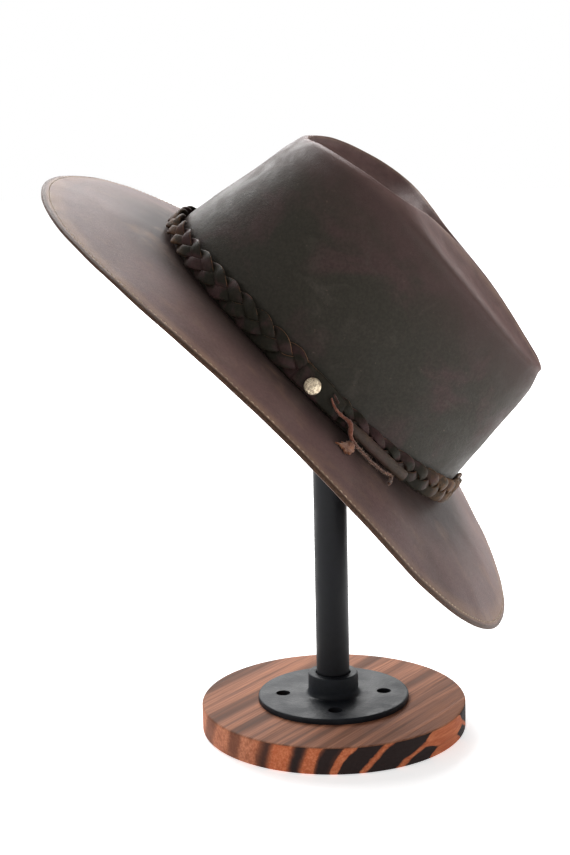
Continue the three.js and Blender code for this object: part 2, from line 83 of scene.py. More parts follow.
class Slot(str, Enum):
    """The material slots."""

    CROWN = "crown_leather"
    BRIM = "brim_leather"
    BAND = "band_leather"
    SUEDE = "suede"
    RIVET = "rivet_metal"
    WOOD = "wood"
    IRON = "iron"


# ---- tables and smooth curves ----


@dataclass(frozen=True)
class Table:
    """Rows of sizes under named columns, the first of which is the key."""

    columns: tuple[str, ...]
    rows: tuple[tuple[float, ...], ...]

    def at(self, column: str, keys: Array) -> Array:
        """Smooth values of a column.

        Args:
            column: The column's name.
            keys: Values of the first column.

        Returns:
            The values, by a cubic through the neighbouring rows.
        """
        data = np.array(self.rows, dtype=float)
        knots, values = data[:, 0], data[:, self.columns.index(column)]
        keys = np.asarray(keys, dtype=float)
        slopes = np.gradient(values) / np.gradient(knots)
        low = np.clip(np.searchsorted(knots, keys, side="right") - 1, 0, len(knots) - 2)
        span = knots[low + 1] - knots[low]
        t = (keys - knots[low]) / span
        blend = t * t * (3.0 - 2.0 * t)
        bend = t * (1.0 - t) * span * (slopes[low] * (1.0 - t) - slopes[low + 1] * t)
        return values[low] + (values[low + 1] - values[low]) * blend + bend

    def column(self, name: str) -> Array:
        """The numbers of one column."""
        return np.array([row[self.columns.index(name)] for row in self.rows], dtype=float)


def through_points(points: Array, steps: int) -> Array:
    """Runs a smooth curve through rows of points.

    Args:
        points: Array (..., rows, 3).
        steps: Pieces that each span is divided into.

    Returns:
        Array (..., (rows - 1) * steps + 1, 3), which keeps the given points.
    """
    gaps = np.sqrt(np.linalg.norm(np.diff(points, axis=-2), axis=-1)) + 1e-6
    knots = np.concatenate([np.zeros(gaps.shape[:-1] + (1,)), np.cumsum(gaps, axis=-1)], axis=-1)
    slopes = np.empty_like(points)
    reach = (knots[..., 2:] - knots[..., :-2])[..., None]
    slopes[..., 1:-1, :] = (points[..., 2:, :] - points[..., :-2, :]) / reach
    slopes[..., 0, :] = (points[..., 1, :] - points[..., 0, :]) / gaps[..., 0, None]
    slopes[..., -1, :] = (points[..., -1, :] - points[..., -2, :]) / gaps[..., -1, None]
    pieces = []
    for t in np.arange(steps) / steps:
        start, end = points[..., :-1, :], points[..., 1:, :]
        pieces.append(
            start * (2 * t**3 - 3 * t**2 + 1)
            + end * (3 * t**2 - 2 * t**3)
            + slopes[..., :-1, :] * gaps[..., None] * (t**3 - 2 * t**2 + t)
            + slopes[..., 1:, :] * gaps[..., None] * (t**3 - t**2)
        )
    dense = np.stack(pieces, axis=-2)
    dense = dense.reshape(dense.shape[:-3] + (-1, 3))
    return np.concatenate([dense, points[..., -1:, :]], axis=-2)


def bell(value: Array, middle: float, width: float) -> Array:
    """A smooth bump of height 1 at the middle that fades over about the width."""
    return np.exp(-(((value - middle) / width) ** 2))


def unit(vectors: Array) -> Array:
    """The vectors, each at length 1."""
    return vectors / np.maximum(np.linalg.norm(vectors, axis=-1, keepdims=True), 1e-12)


def vectors(x: Array, y: Array, z: Array) -> Array:
    """Points or directions from their three numbers, array (..., 3)."""
    return np.stack([x, y, z], axis=-1)


def step_lengths(line: Array) -> Array:
    """Distances between neighbouring points of a line."""
    return np.linalg.norm(np.diff(line, axis=0), axis=1)


def lengths_along(line: Array) -> Array:
    """Length from a line's start to each of its points."""
    return np.concatenate([[0.0], np.cumsum(step_lengths(line))])


def full_circle(count: int, offset: float = 0.0) -> Array:
    """Evenly spaced angles once round, from an offset given as a share of a step."""
    return FULL_TURN * (np.arange(count) + offset) / count


def boxed(wave: Array, power: float) -> Array:
    """A sine or cosine with its size raised to a power below 1, which squares its circle off."""
    return np.sign(wave) * np.abs(wave) ** power


def around(first: Array, second: Array, turn: Array) -> Array:
    """Directions to the points of a circle.

    Args:
        first: Directions at no turn, array (..., 3).
        second: Directions at a quarter turn, array (..., 3).
        turn: Angles, array (sides,).

    Returns:
        Array (..., sides, 3).
    """
    return first[..., None, :] * np.cos(turn)[:, None] + second[..., None, :] * np.sin(turn)[:, None]


@dataclass(frozen=True)
class Wave:
    """Smooth wandering: its height, the distance over which it changes, and its seed."""

    height: float
    size: float
    seed: float = 0.0

    def at(self, points: Array, onward: float = 0.0) -> Array:
        """Values between about minus and plus the height.

        Args:
            points: Array (..., 3), in the same unit as the size.
            onward: Added to the seed.

        Returns:
            Array (...).
        """
        flat = points.reshape(-1, 3) / self.size + (self.seed + onward)
        values = np.array([noise.noise(Vector(p)) for p in flat])
        return self.height * values.reshape(points.shape[:-1])


# ---- meshes ----


def sheet_faces(rows: int, columns: int, rows_meet: bool, columns_meet: bool) -> list[Face]:
    """Quads over a grid of points numbered row by row.

    Args:
        rows: Number of rows.
        columns: Points in each row.
        rows_meet: Whether the last row joins the first.
        columns_meet: Whether each row is a closed loop.

    Returns:
        The quads' point numbers.
    """
    faces = []
    for i in range(rows if rows_meet else rows - 1):
        below, above = i * columns, ((i + 1) % rows) * columns
        for j in range(columns if columns_meet else columns - 1):
            k = (j + 1) % columns
            faces.append((below + j, above + j, above + k, below + k))
    return faces


def tube_faces(rings: int, sides: int) -> list[Face]:
    """Quads round a row of closed rings, and a face over each end.

    Args:
        rings: Number of rings.
        sides: Points in each ring.

    Returns:
        The faces' point numbers.
    """
    last = (rings - 1) * sides
    ends = [tuple(range(sides)), tuple(last + k for k in range(sides))[::-1]]
    return sheet_faces(rings, sides, False, True) + ends


@dataclass
class Shell:
    """Points in metres, faces and a lay: two numbers for each point that finishes read."""

    points: Array
    faces: list[Face]
    lay: Optional[Array] = None

    def facing_out(self) -> "Shell":
        """Turns all faces over if the closed shell is inside out.

        Returns:
            The same shell.
        """
        volume = 0.0
        for face in self.faces:
            a = self.points[face[0]]
            for b, c in zip(face[1:-1], face[2:]):
                volume += float(np.dot(a, np.cross(self.points[b], self.points[c])))
        if volume < 0.0:
            self.faces = [face[::-1] for face in self.faces]
        return self

    @staticmethod
    def together(shells: Sequence["Shell"]) -> "Shell":
        """Puts several shells together.

        Args:
            shells: The shells.

        Returns:
            One shell, with a lay if all of them have one.
        """
        faces, start = [], 0
        for shell in shells:
            faces += [tuple(k + start for k in face) for face in shell.faces]
            start += len(shell.points)
        lays = [shell.lay for shell in shells if shell.lay is not None]
        lay = np.concatenate(lays) if len(lays) == len(shells) else None
        return Shell(np.concatenate([shell.points for shell in shells]), faces, lay)

    def piece(self, name: str, material: Material, crisp: float = 0.0) -> Piece:
        """Makes the Blender object.

        Args:
            name: The object's name.
            material: Its only material.
            crisp: Edges sharper than this, in degrees, stay crisp; none do at 0.

        Returns:
            The object, smooth-shaded, with the lay as a UV map.
        """
        mesh = bpy.data.meshes.new(name)
        mesh.from_pydata([tuple(p) for p in self.points], [], self.faces)
        if self.lay is not None:
            uv = mesh.uv_layers.new(name="lay")
            corners = np.empty(len(mesh.loops), dtype=np.int32)
            mesh.loops.foreach_get("vertex_index", corners)
            uv.data.foreach_set("uv", self.lay[corners].astype(np.float32).ravel())
        mesh.polygons.foreach_set("use_smooth", np.ones(len(mesh.polygons), dtype=bool))
        mesh.materials.append(material)
        if crisp > 0.0:
            mesh.set_sharp_from_angle(angle=math.radians(crisp))
        item = bpy.data.objects.new(name, mesh)
        bpy.context.collection.objects.link(item)
        return item


def apply_modifiers(item: Piece) -> None:
    """Works modifiers into the mesh.

    Args:
        item: The piece that has them.
    """
    graph = bpy.context.evaluated_depsgraph_get()
    finished = bpy.data.meshes.new_from_object(item.evaluated_get(graph))
    item.modifiers.clear()
    old = item.data
    item.data = finished
    bpy.data.meshes.remove(old)


def seat(item: Piece, slot: Slot, *nodes: str) -> Piece:
    """Puts a piece on the body and lets it stand for CAD nodes.

    Args:
        item: The finished piece.
        slot: Not used.
        nodes: CAD nodes that it replaces, if any.

    Returns:
        The piece.
    """
    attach(item, BODY)
    if nodes:
        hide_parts(*nodes)
    LOG.info("%s: %d faces", item.name, len(item.data.polygons))
    return item


def grid_lay(rows: Array, columns: Array) -> Array:
    """The lay of a grid of points, from a number for each row and one for each column."""
    return np.stack(np.broadcast_arrays(rows[:, None], columns[None, :]), axis=-1).reshape(-1, 2)


def swept(centres: Array, across: Array, thick: Array, outline: Array) -> Shell:
    """Sweeps a closed outline along a line of centres and closes both ends.

    Args:
        centres: Array (steps, 3).
        across: Unit vectors of the outline's first direction, array (steps, 3).
        thick: Unit vectors of its second direction, array (steps, 3).
        outline: Array (steps, sides, 2).

    Returns:
        The shell, whose lay holds the length along and the place round the outline.
    """
    steps, sides = outline.shape[:2]
    rings = (
        centres[:, None, :]
        + across[:, None, :] * outline[..., :1]
        + thick[:, None, :] * outline[..., 1:]
    )
    lay = grid_lay(lengths_along(centres), np.arange(sides) / sides)
    return Shell(rings.reshape(-1, 3), tube_faces(steps, sides), lay).facing_out()


def pillow(half_width: Array, half_thickness: Array, sides: int, fullness: float) -> Array:
    """Cross-sections of a flat strip with rounded edges.

    Args:
        half_width: Half width at each step.
        half_thickness: Half thickness at each step.
        sides: Points round each section.
        fullness: 2 is an ellipse, and more is boxier.

    Returns:
        Array (steps, sides, 2).
    """
    turn = full_circle(sides, 0.5)
    width = half_width[:, None] * boxed(np.cos(turn), 2.0 / fullness)
    depth = half_thickness[:, None] * boxed(np.sin(turn), 2.0 / fullness)
    return np.stack([width, depth], axis=-1)


def rounded_outline(corners: Sequence[Triple], steps: int) -> list[tuple[float, float]]:
    """Rounds the corners of a half outline for turning.

    Args:
        corners: Radius, height and rounding of each corner, in order.
        steps: Pieces in each rounding.

    Returns:
        Points (radius, height).
    """
    outline: list[tuple[float, float]] = []
    for i, (r, z, rounding) in enumerate(corners):
        here = Vector((r, z))
        if rounding <= 0.0 or i in (0, len(corners) - 1):
            outline.append((r, z))
            continue
        before = (Vector(corners[i - 1][:2]) - here).normalized()
        after = (Vector(corners[i + 1][:2]) - here).normalized()
        start, end = here + before * rounding, here + after * rounding
        for k in range(steps + 1):
            t = k / steps
            point = start * (1 - t) ** 2 + here * (2 * t * (1 - t)) + end * t**2
            outline.append((point.x, point.y))
    return outline


def turned(outline: Sequence[tuple[float, float]], sides: int) -> Shell:
    """A turned piece about Z from its half outline, which starts and ends on the axis or meets itself.

    Args:
        outline: Points (radius, height) in metres.
        sides: Points round it.

    Returns:
        The shell, whose lay holds the radius and the height.
    """
    solid = outline[0][0] <= 0.0
    loop = [p for p in outline if p[0] > 0.0]
    turn = full_circle(sides)
    ring = np.stack([np.cos(turn), np.sin(turn)], axis=-1)
    points = np.concatenate([np.column_stack([ring * r, np.full(sides, z)]) for r, z in loop])
    faces = tube_faces(len(loop), sides) if solid else sheet_faces(len(loop), sides, True, True)
    return Shell(points, faces, np.repeat(np.array(loop), sides, axis=0)).facing_out()


# ---- the hat's form ----


WALL = Table(
    ("share", "front", "side", "back"),
    (
        (0, 0, 0, 0), (0.15, 0.1, 1.6, 1.6), (0.35, 0.6, 3.2, 1.6), (0.55, 1.5, 4.0, 1.0),
        (0.75, 2.4, 3.6, 0.8), (0.88, 2.4, 2.2, 1.1), (1, 0, 0, 0),
    ),
)

ROOF = Table(
    ("angle", "ridge_z", "drop", "pinch", "valley_x", "valley_z"),
    (
        (0, 88.0, 3.0, 0.60, 87, 90.4), (20, 90.2, 3.2, 0.75, 83, 91.6),
        (35, 92.8, 4.8, 0.84, 72, 94.2), (50, 96.6, 6.6, 0.88, 56, 97.6),
        (63, 99.9, 7.2, 0.89, 40, 100.6), (74, 102.0, 6.9, 0.89, 25.5, 102.5),
        (82, 103.0, 6.5, 0.88, 15, 103.0), (89, 103.9, 6.2, 0.81, 6, 101.5),
        (95, 104.4, 5.9, 0.67, -4, 95), (101, 104.5, 5.4, 0.47, -15, 86),
        (106, 104.0, 4.5, 0.24, -24, 81), (111, 103.3, 3.7, 0.085, -31, 79),
        (117, 102.1, 2.6, 0, -38, 78.5), (126, 99.9, 2.5, 0, -44, 78.5), (140, 95.9, 2.5, 0, -50, 79),
        (155, 91.4, 2.5, 0, -54, 79.5), (168, 87.5, 2.5, 0, -55.5, 80), (180, 86.0, 2.5, 0, -56, 80),
    ),
)


@dataclass(frozen=True)
class HatForm:
    """The surfaces that the hat's pieces share, in the hat's frame, and the hat's place."""

    place: Triple = (-9.5, -5.2, 217.2)
    nose_down: float = 45.7
    lean: float = 6.3
    turn: float = -2.6
    head_half_length: float = 105.0
    head_half_width: float = 86.0
    head_saddle: float = 2.4
    roof_centre_x: float = 1.9
    roof_half_length: float = 91.7
    roof_half_width: float = 55.5
    roof_taper: float = 20.0
    rim_inset: float = 3.0
    brim_edge_middle: float = 5.2
    brim_edge_swing: float = 174.4
    brim_edge_second: float = -2.7
    brim_edge_half: float = 160.4
    brim_edge_fullness: float = 0.13
    brim_edge_heights: tuple[float, ...] = (-13.8, 2.7, -11.7, 1.5, 1.0)
    brim_flare: float = 0.5
    slope_step: float = 1e-3
    line_steps: int = 720

    def placed(self, points: Array) -> Array:
        """Puts points in the hat's place on the stand.

        Args:
            points: Array (..., 3) in the hat's frame, in millimetres.

        Returns:
            The same points in the row frame, in metres.
        """
        turned_by = (
            Matrix.Rotation(math.radians(self.nose_down), 3, "Y")
            @ Matrix.Rotation(math.radians(self.lean), 3, "X")
            @ Matrix.Rotation(math.radians(self.turn), 3, "Z")
        )
        return (points @ np.array(turned_by).T + np.array(self.place)) * MM

    def placed_ways(self, ways: Array) -> Array:
        """Unit vectors of the hat's frame as unit vectors of the row frame."""
        return unit(self.placed(ways) - self.placed(np.zeros(3)))

    def plan_outward(self, angle: Array) -> Array:
        """Level unit vectors away from the crown."""
        x, y = np.cos(angle) / self.head_half_length, np.sin(angle) / self.head_half_width
        return unit(vectors(x, y, 0 * angle))

    def foot(self, angle: Array) -> Array:
        """Foot of the crown's wall, where the brim begins."""
        x, y = self.head_half_length * np.cos(angle), self.head_half_width * np.sin(angle)
        return vectors(x, y, -self.head_saddle * np.cos(2 * angle))

    def roof(self, column: str, angle: Array) -> Array:
        """A column of the roof's table at angles from either side."""
        return ROOF.at(column, np.degrees(np.arccos(np.clip(np.cos(angle), -1, 1))))

    def wall_edge(self, angle: Array) -> Array:
        """Upper edge of the crown's wall, an egg in plan.

        Args:
            angle: Its angles, in radians.

        Returns:
            Its points, in millimetres.
        """
        x = self.roof_centre_x + self.roof_half_length * np.cos(angle)
        y = (self.roof_half_width - self.roof_taper * np.cos(angle)) * np.sin(angle)
        return vectors(x, y, self.roof("ridge_z", angle) - self.roof("drop", angle))

    def wall(self, angle: Array, share: Array) -> Array:
        """The crown's wall.

        Args:
            angle: Angles round the crown, in radians.
            share: From 0 at the wall's foot to 1 at its upper edge.

        Returns:
            Points (..., 3).
        """
        angle, share = np.broadcast_arrays(np.asarray(angle, float), np.asarray(share, float))
        lengthwise = np.cos(angle) ** 2
        ends = np.where(np.cos(angle) > 0, WALL.at("front", share), WALL.at("back", share))
        swell = ends * lengthwise + WALL.at("side", share) * (1 - lengthwise)
        foot = self.foot(angle)
        straight = foot + (self.wall_edge(angle) - foot) * share[..., None]
        return straight + self.plan_outward(angle) * swell[..., None]

    def beside(self, angle: Array, height: Array, out: Array) -> Array:
        """Points pushed out square to the wall.

        Args:
            angle: Angles round the crown, in radians.
            height: Heights above the wall's foot.
            out: Distances out from the wall.

        Returns:
            Array (..., 3) in the hat's frame.
        """
        given = (np.asarray(value, float) for value in (angle, height, out))
        angle, height, out = np.broadcast_arrays(*given)
        share = height / (self.wall_edge(angle)[..., 2] - self.foot(angle)[..., 2])
        step = self.slope_step
        along = self.wall(angle + step, share) - self.wall(angle - step, share)
        up = self.wall(angle, share + step) - self.wall(angle, share - step)
        return self.wall(angle, share) + unit(np.cross(along, up)) * out[..., None]

    def outward(self, angle: Array, height: Array) -> Array:
        """Unit vectors square to the wall at angles in radians and heights above its foot."""
        return unit(self.beside(angle, height, 1.0) - self.beside(angle, height, 0.0))

    def brim_edge(self, angle: Array) -> Array:
        """The brim's cut edge, at its top.

        Args:
            angle: Angles round the crown, in radians.

        Returns:
            Points (..., 3).
        """
        cos = np.cos(angle)
        x = self.brim_edge_middle + self.brim_edge_swing * cos + self.brim_edge_second * np.cos(2 * angle)
        y = self.brim_edge_half * np.sin(angle) * (1 + self.brim_edge_fullness * cos**2)
        return vectors(x, y, sum(term * np.cos(k * angle) for k, term in enumerate(self.brim_edge_heights)))

    def brim_width(self, angle: Array) -> Array:
        """The brim's width in plan."""
        return np.linalg.norm((self.brim_edge(angle) - self.foot(angle))[..., :2], axis=-1)

    def brim_top(self, angle: Array, share: Array) -> Array:
        """The brim's top.

        Args:
            angle: Angles round the crown, in radians.
            share: From 0 at the crown to 1 at the edge.

        Returns:
            Points (..., 3).
        """
        angle, share = np.broadcast_arrays(np.asarray(angle, float), np.asarray(share, float))
        foot, edge = self.foot(angle), self.brim_edge(angle)
        points = foot + (edge - foot) * share[..., None]
        fall = self.brim_flare * share + (1 - self.brim_flare) * share**2
        points[..., 2] = foot[..., 2] - GAP + (edge - foot)[..., 2] * fall
        return points

    def even_angles(self, start: float, end: float, height: float, out: float, steps: int) -> Array:
        """Angles that divide a line beside the wall into equal steps.

        Args:
            start: First angle, in degrees.
            end: Last angle, in degrees.
            height: Height above the wall's foot.
            out: Distance out from the wall.
            steps: How many.

        Returns:
            steps + 1 angles in radians.
        """
        fine = np.radians(np.linspace(start, end, self.line_steps + 1))
        lengths = lengths_along(self.beside(fine, height, out))
        return np.interp(np.linspace(0, lengths[-1], steps + 1), lengths, fine)

    def line_length(self, start: float, end: float, height: float, out: float) -> float:
        """Length of a line beside the wall between two angles in degrees."""
        fine = np.radians(np.linspace(start, end, self.line_steps + 1))
        return float(step_lengths(self.beside(fine, height, out)).sum())


# ---- finishes ----


@dataclass(frozen=True)
class Cloud:
    """Noise: the size of its patches in millimetres, its octaves, their strength and its swirl."""

    size: float
    detail: float = 3.0
    rough: float = 0.5
    warp: float = 0.0


@dataclass(frozen=True)
class Ramp:
    """A smooth change from start to end while a value goes from low to high."""

    low: float
    high: float
    start: float = 0.0
    end: float = 1.0


Mottle = tuple[Cloud, Ramp]


class NodeBench:
    """Lays out the shader nodes of one material or world."""

    def __init__(self, owner: Union[Material, bpy.types.World]) -> None:
        """Starts an empty node tree.

        Args:
            owner: The material or world.
        """
        self.owner = owner
        owner.use_nodes = True
        self.tree = owner.node_tree
        self.tree.nodes.clear()

    def wire(self, socket: Socket, value: Value) -> None:
        """Wires or sets one input.

        Args:
            socket: The input.
            value: An output to wire to it or a constant; a colour gets its alpha.
        """
        if isinstance(value, bpy.types.NodeSocket):
            self.tree.links.new(value, socket)
        else:
            socket.default_value = (*value, 1.0) if socket.type == "RGBA" else value

    def put(self, kind: str, sockets: Optional[dict[Union[str, int], Value]] = None, **settings: object
            ) -> bpy.types.Node:
        """Adds a node.

        Args:
            kind: The node's type.
            sockets: Input names or numbers, with a constant or an output to wire to each.
            settings: The node's own settings.

        Returns:
            The node.
        """
        node = self.tree.nodes.new(kind)
        for key, value in settings.items():
            setattr(node, key, value)
        for key, value in (sockets or {}).items():
            self.wire(node.inputs[key], value)
        return node

    def where(self, stretch: Triple = (1.0, 1.0, 1.0), turn: Triple = (0.0, 0.0, 0.0)) -> Socket:
        """Object coordinates.

        Args:
            stretch: Multiplies them, after the turn.
            turn: In degrees, about each axis.

        Returns:
            The coordinates.
        """
        place = self.put("ShaderNodeTexCoord").outputs["Object"]
        for change in ({"Rotation": tuple(math.radians(a) for a in turn)}, {"Scale": stretch}):
            place = self.put("ShaderNodeMapping", {"Vector": place, **change}).outputs["Vector"]
        return place

    def parts(self, vector: Socket) -> tuple[Socket, Socket, Socket]:
        """The three numbers of a vector."""
        return tuple(self.put("ShaderNodeSeparateXYZ", {0: vector}).outputs)

    def lay(self) -> tuple[Socket, Socket]:
        """The two numbers of the piece's lay."""
        return self.parts(self.put("ShaderNodeUVMap", uv_map="lay").outputs["UV"])[:2]

    def cloud(self, where: Socket, cloud: Cloud, scale: float = 1.0) -> Socket:
        """Noise between 0 and 1.

        Args:
            where: The coordinates.
            cloud: The noise.
            scale: Multiplies the size of its patches.

        Returns:
            The noise's value.
        """
        pattern = {"Detail": cloud.detail, "Roughness": cloud.rough, "Distortion": cloud.warp}
        count = 1.0 / MM / (cloud.size * scale)
        return self.put("ShaderNodeTexNoise", {"Vector": where, "Scale": count, **pattern}).outputs["Fac"]

    def cell_edges(self, where: Socket, size: float) -> Socket:
        """Distance from the edges of irregular cells of the size, in millimetres."""
        sockets = {"Vector": where, "Scale": 1.0 / MM / size}
        return self.put("ShaderNodeTexVoronoi", sockets, feature="DISTANCE_TO_EDGE").outputs["Distance"]

    def span(self, value: Socket, ramp: Ramp) -> Socket:
        """Maps a value by a ramp, and holds it within the ramp's ends.

        Args:
            value: The value.
            ramp: The ramp.

        Returns:
            The mapped value.
        """
        sockets = {"From Min": ramp.low, "From Max": ramp.high, "To Min": ramp.start, "To Max": ramp.end}
        node = self.put("ShaderNodeMapRange", {"Value": value, **sockets}, interpolation_type="SMOOTHSTEP")
        return node.outputs["Result"]

    def mottled(self, where: Socket, mottle: Mottle) -> Socket:
        """A mask of noise mapped by a ramp."""
        cloud, ramp = mottle
        return self.span(self.cloud(where, cloud), ramp)

    def maths(self, operation: str, first: Value, second: Value = 0.0) -> Socket:
        """One of the Math node's operations, on one value or two."""
        return self.put("ShaderNodeMath", {0: first, 1: second}, operation=operation).outputs[0]

    def times(self, first: Value, second: Value) -> Socket:
        """The product of two values."""
        return self.maths("MULTIPLY", first, second)

    def plus(self, first: Value, second: Value) -> Socket:
        """The sum of two values."""
        return self.maths("ADD", first, second)

    def band(self, value: Socket, middle: float, width: float) -> Socket:
        """A mask that is 1 at the middle and 0 beyond the width to either side."""
        away = self.maths("ABSOLUTE", self.maths("SUBTRACT", value, middle))
        return self.span(away, Ramp(0.0, width, 1.0, 0.0))

    def mixed(self, kind: str, share: Value, base: Value, other: Value) -> Socket:
        """Mixes two values.

        Args:
            kind: The values' type.
            share: Share of the other one.
            base: The first.
            other: The other.

        Returns:
            The mixture.
        """
        node = self.put("ShaderNodeMix", data_type=kind)
        for key, value in (("Factor", share), ("A", base), ("B", other)):
            self.wire(next(s for s in node.inputs if s.name == key and s.enabled), value)
        return next(s for s in node.outputs if s.enabled)

    def tint(self, share: Value, base: Value, other: Value) -> Socket:
        """Mixes two colours by a share."""
        return self.mixed("RGBA", share, base, other)

    def relief(self, height: Socket, depth: float, below: Optional[Socket] = None, strength: float = 1.0
               ) -> Socket:
        """Adds a bump.

        Args:
            height: Its heights, from 0 to 1.
            depth: What a height of 1 is, in millimetres.
            below: The relief that it lies on.
            strength: How much of it shows.

        Returns:
            The relief.
        """
        sockets = {"Height": height, "Distance": depth * MM, "Strength": strength}
        if below is not None:
            sockets["Normal"] = below
        return self.put("ShaderNodeBump", sockets).outputs["Normal"]

    def finish(self, colour: Value, roughness: Value, normal: Optional[Socket] = None, **others: Value
               ) -> Material:
        """Closes the material with its shader.

        Args:
            colour: Base colour.
            roughness: Roughness.
            normal: The relief's output.
            others: Other shader inputs, with underscores for spaces.

        Returns:
            The material.
        """
        shader = self.put("ShaderNodeBsdfPrincipled", {"Base Color": colour, "Roughness": roughness})
        if normal is not None:
            self.wire(shader.inputs["Normal"], normal)
        for key, value in others.items():
            self.wire(shader.inputs[key.replace("_", " ")], value)
        self.put("ShaderNodeOutputMaterial", {"Surface": shader.outputs["BSDF"]})
        return self.owner


def shaded(colour: Colour, times: float) -> Colour:
    """A colour made lighter or darker, within white."""
    return tuple(min(1.0, c * times) for c in colour)


@dataclass(frozen=True)
class OiledLeather:
    """Smooth oiled hide, mottled in two hues, with a fine grain and rubbed high spots.

    The sizes of the broad and the middle cloud are shares of the patch.
    """

    name: str
    dark: Colour
    hue: Colour
    pale: Colour
    rubbed: Colour
    patch: float = 42.0
    hue_from: float = 0.42
    hue_over: float = 0.2
    roughness: float = 0.5
    gloss: float = 0.4
    sheen: float = 0.0
    sheen_roughness: float = 0.4
    sheen_tint: Colour = (1.0, 0.64, 0.58)
    broad: Cloud = Cloud(1.0, 3.0, 0.55, 0.6)
    middle: Cloud = Cloud(0.36, 4.0, 0.6, 0.8)
    pale_share: Ramp = Ramp(0.5, 0.78, 0.0, 0.55)
    grime: Colour = (0.0, 0.0, 0.0)
    grimy: Mottle = (Cloud(1.6, 3.0, 0.6), Ramp(0.35, 0.65, 0.0, 0.22))
    specks: Mottle = (Cloud(2.6, 2.0, 0.8), Ramp(0.68, 0.78, 0.0, 0.2))
    grain: float = 0.9
    grain_width: Ramp = Ramp(0.0, 0.35)
    grain_depth: float = 0.05
    waves: Cloud = Cloud(7.0, 4.0, 0.65, 1.2)
    waviness: float = 0.3
    wave_strength: float = 0.5
    polish: float = 0.08
    rough_share: tuple[float, float] = (0.3, 0.7)

    def start(self) -> tuple[NodeBench, Socket, Socket, Socket]:
        """The parts that all oiled leathers share.

        Returns:
            The bench, the mottled colour, the roughness and the relief.
        """
        bench = NodeBench(bpy.data.materials.new(self.name))
        where = bench.where()
        broad = bench.cloud(where, self.broad, self.patch)
        middle = bench.cloud(where, self.middle, self.patch)
        hues = Ramp(self.hue_from, self.hue_from + self.hue_over)
        colour = bench.tint(bench.span(broad, hues), self.dark, self.hue)
        colour = bench.tint(bench.span(middle, self.pale_share), colour, self.pale)
        colour = bench.tint(bench.mottled(where, self.grimy), colour, self.grime)
        colour = bench.tint(bench.mottled(where, self.specks), colour, self.rubbed)
        least, most = self.roughness - self.polish, self.roughness + self.polish
        rough = bench.span(middle, Ramp(*self.rough_share, least, most))
        pores = bench.span(bench.cell_edges(where, self.grain), self.grain_width)
        relief = bench.relief(pores, self.grain_depth)
        relief = bench.relief(bench.cloud(where, self.waves), self.waviness, relief, self.wave_strength)
        return bench, colour, rough, relief

    def closed(self, bench: NodeBench, *looks: Socket) -> Material:
        """Closes a leather's material from its bench, colour, roughness and relief."""
        return bench.finish(*looks, Specular_IOR_Level=self.gloss, Sheen_Weight=self.sheen,
                            Sheen_Roughness=self.sheen_roughness, Sheen_Tint=self.sheen_tint)


@dataclass(frozen=True)
class CrownLeather(OiledLeather):
    """The crown's leather, with painted light that makes it lighter and more mauve towards the top, and a
    painted highlight, mixed with rubbed wear, along the ridges.

    Heights are the lay's second number, which is 1 on the ridge.
    """

    # painted light: lighter and more mauve towards the top, where the top faces the light from above
    painted_top_light: Colour = (0.072, 0.043, 0.039)
    painted_top_light_height: Ramp = Ramp(0.45, 0.85, 0.0, 0.7)
    mauve: Colour = (0.2, 0.118, 0.108)
    mauve_light_height: Ramp = Ramp(0.78, 0.93)
    mauve_light_patches: Ramp = Ramp(0.3, 0.7, 0.55, 0.9)
    # painted highlight along the ridge, mixed with patches of rubbed wear
    ridge: float = 1.0
    ridge_reach: float = 0.035
    ridge_highlight_and_wear: Ramp = Ramp(0.3, 0.7, 0.4, 0.9)
    # patches that break up the painted light on the top and the painted highlight and wear on the ridge
    wear: Cloud = Cloud(9.0, 4.0, 0.7)

    def made(self) -> Material:
        """Lays out the nodes.

        Returns:
            The material.
        """
        bench, colour, rough, relief = self.start()
        _, up = bench.lay()
        # patches for both the painted light on the top and the ridge's painted highlight and wear
        worn = bench.cloud(bench.where(), self.wear)
        # painted light: lighter and more mauve towards the top, in patches
        colour = bench.tint(bench.span(up, self.painted_top_light_height), colour, self.painted_top_light)
        over = bench.times(bench.span(up, self.mauve_light_height), bench.span(worn, self.mauve_light_patches))
        colour = bench.tint(over, colour, self.mauve)
        # painted highlight along the ridge, mixed with rubbed wear
        rubbed = bench.times(bench.band(up, self.ridge, self.ridge_reach), bench.span(worn, self.ridge_highlight_and_wear))
        colour = bench.tint(rubbed, colour, self.rubbed)
        return self.closed(bench, colour, rough, relief)


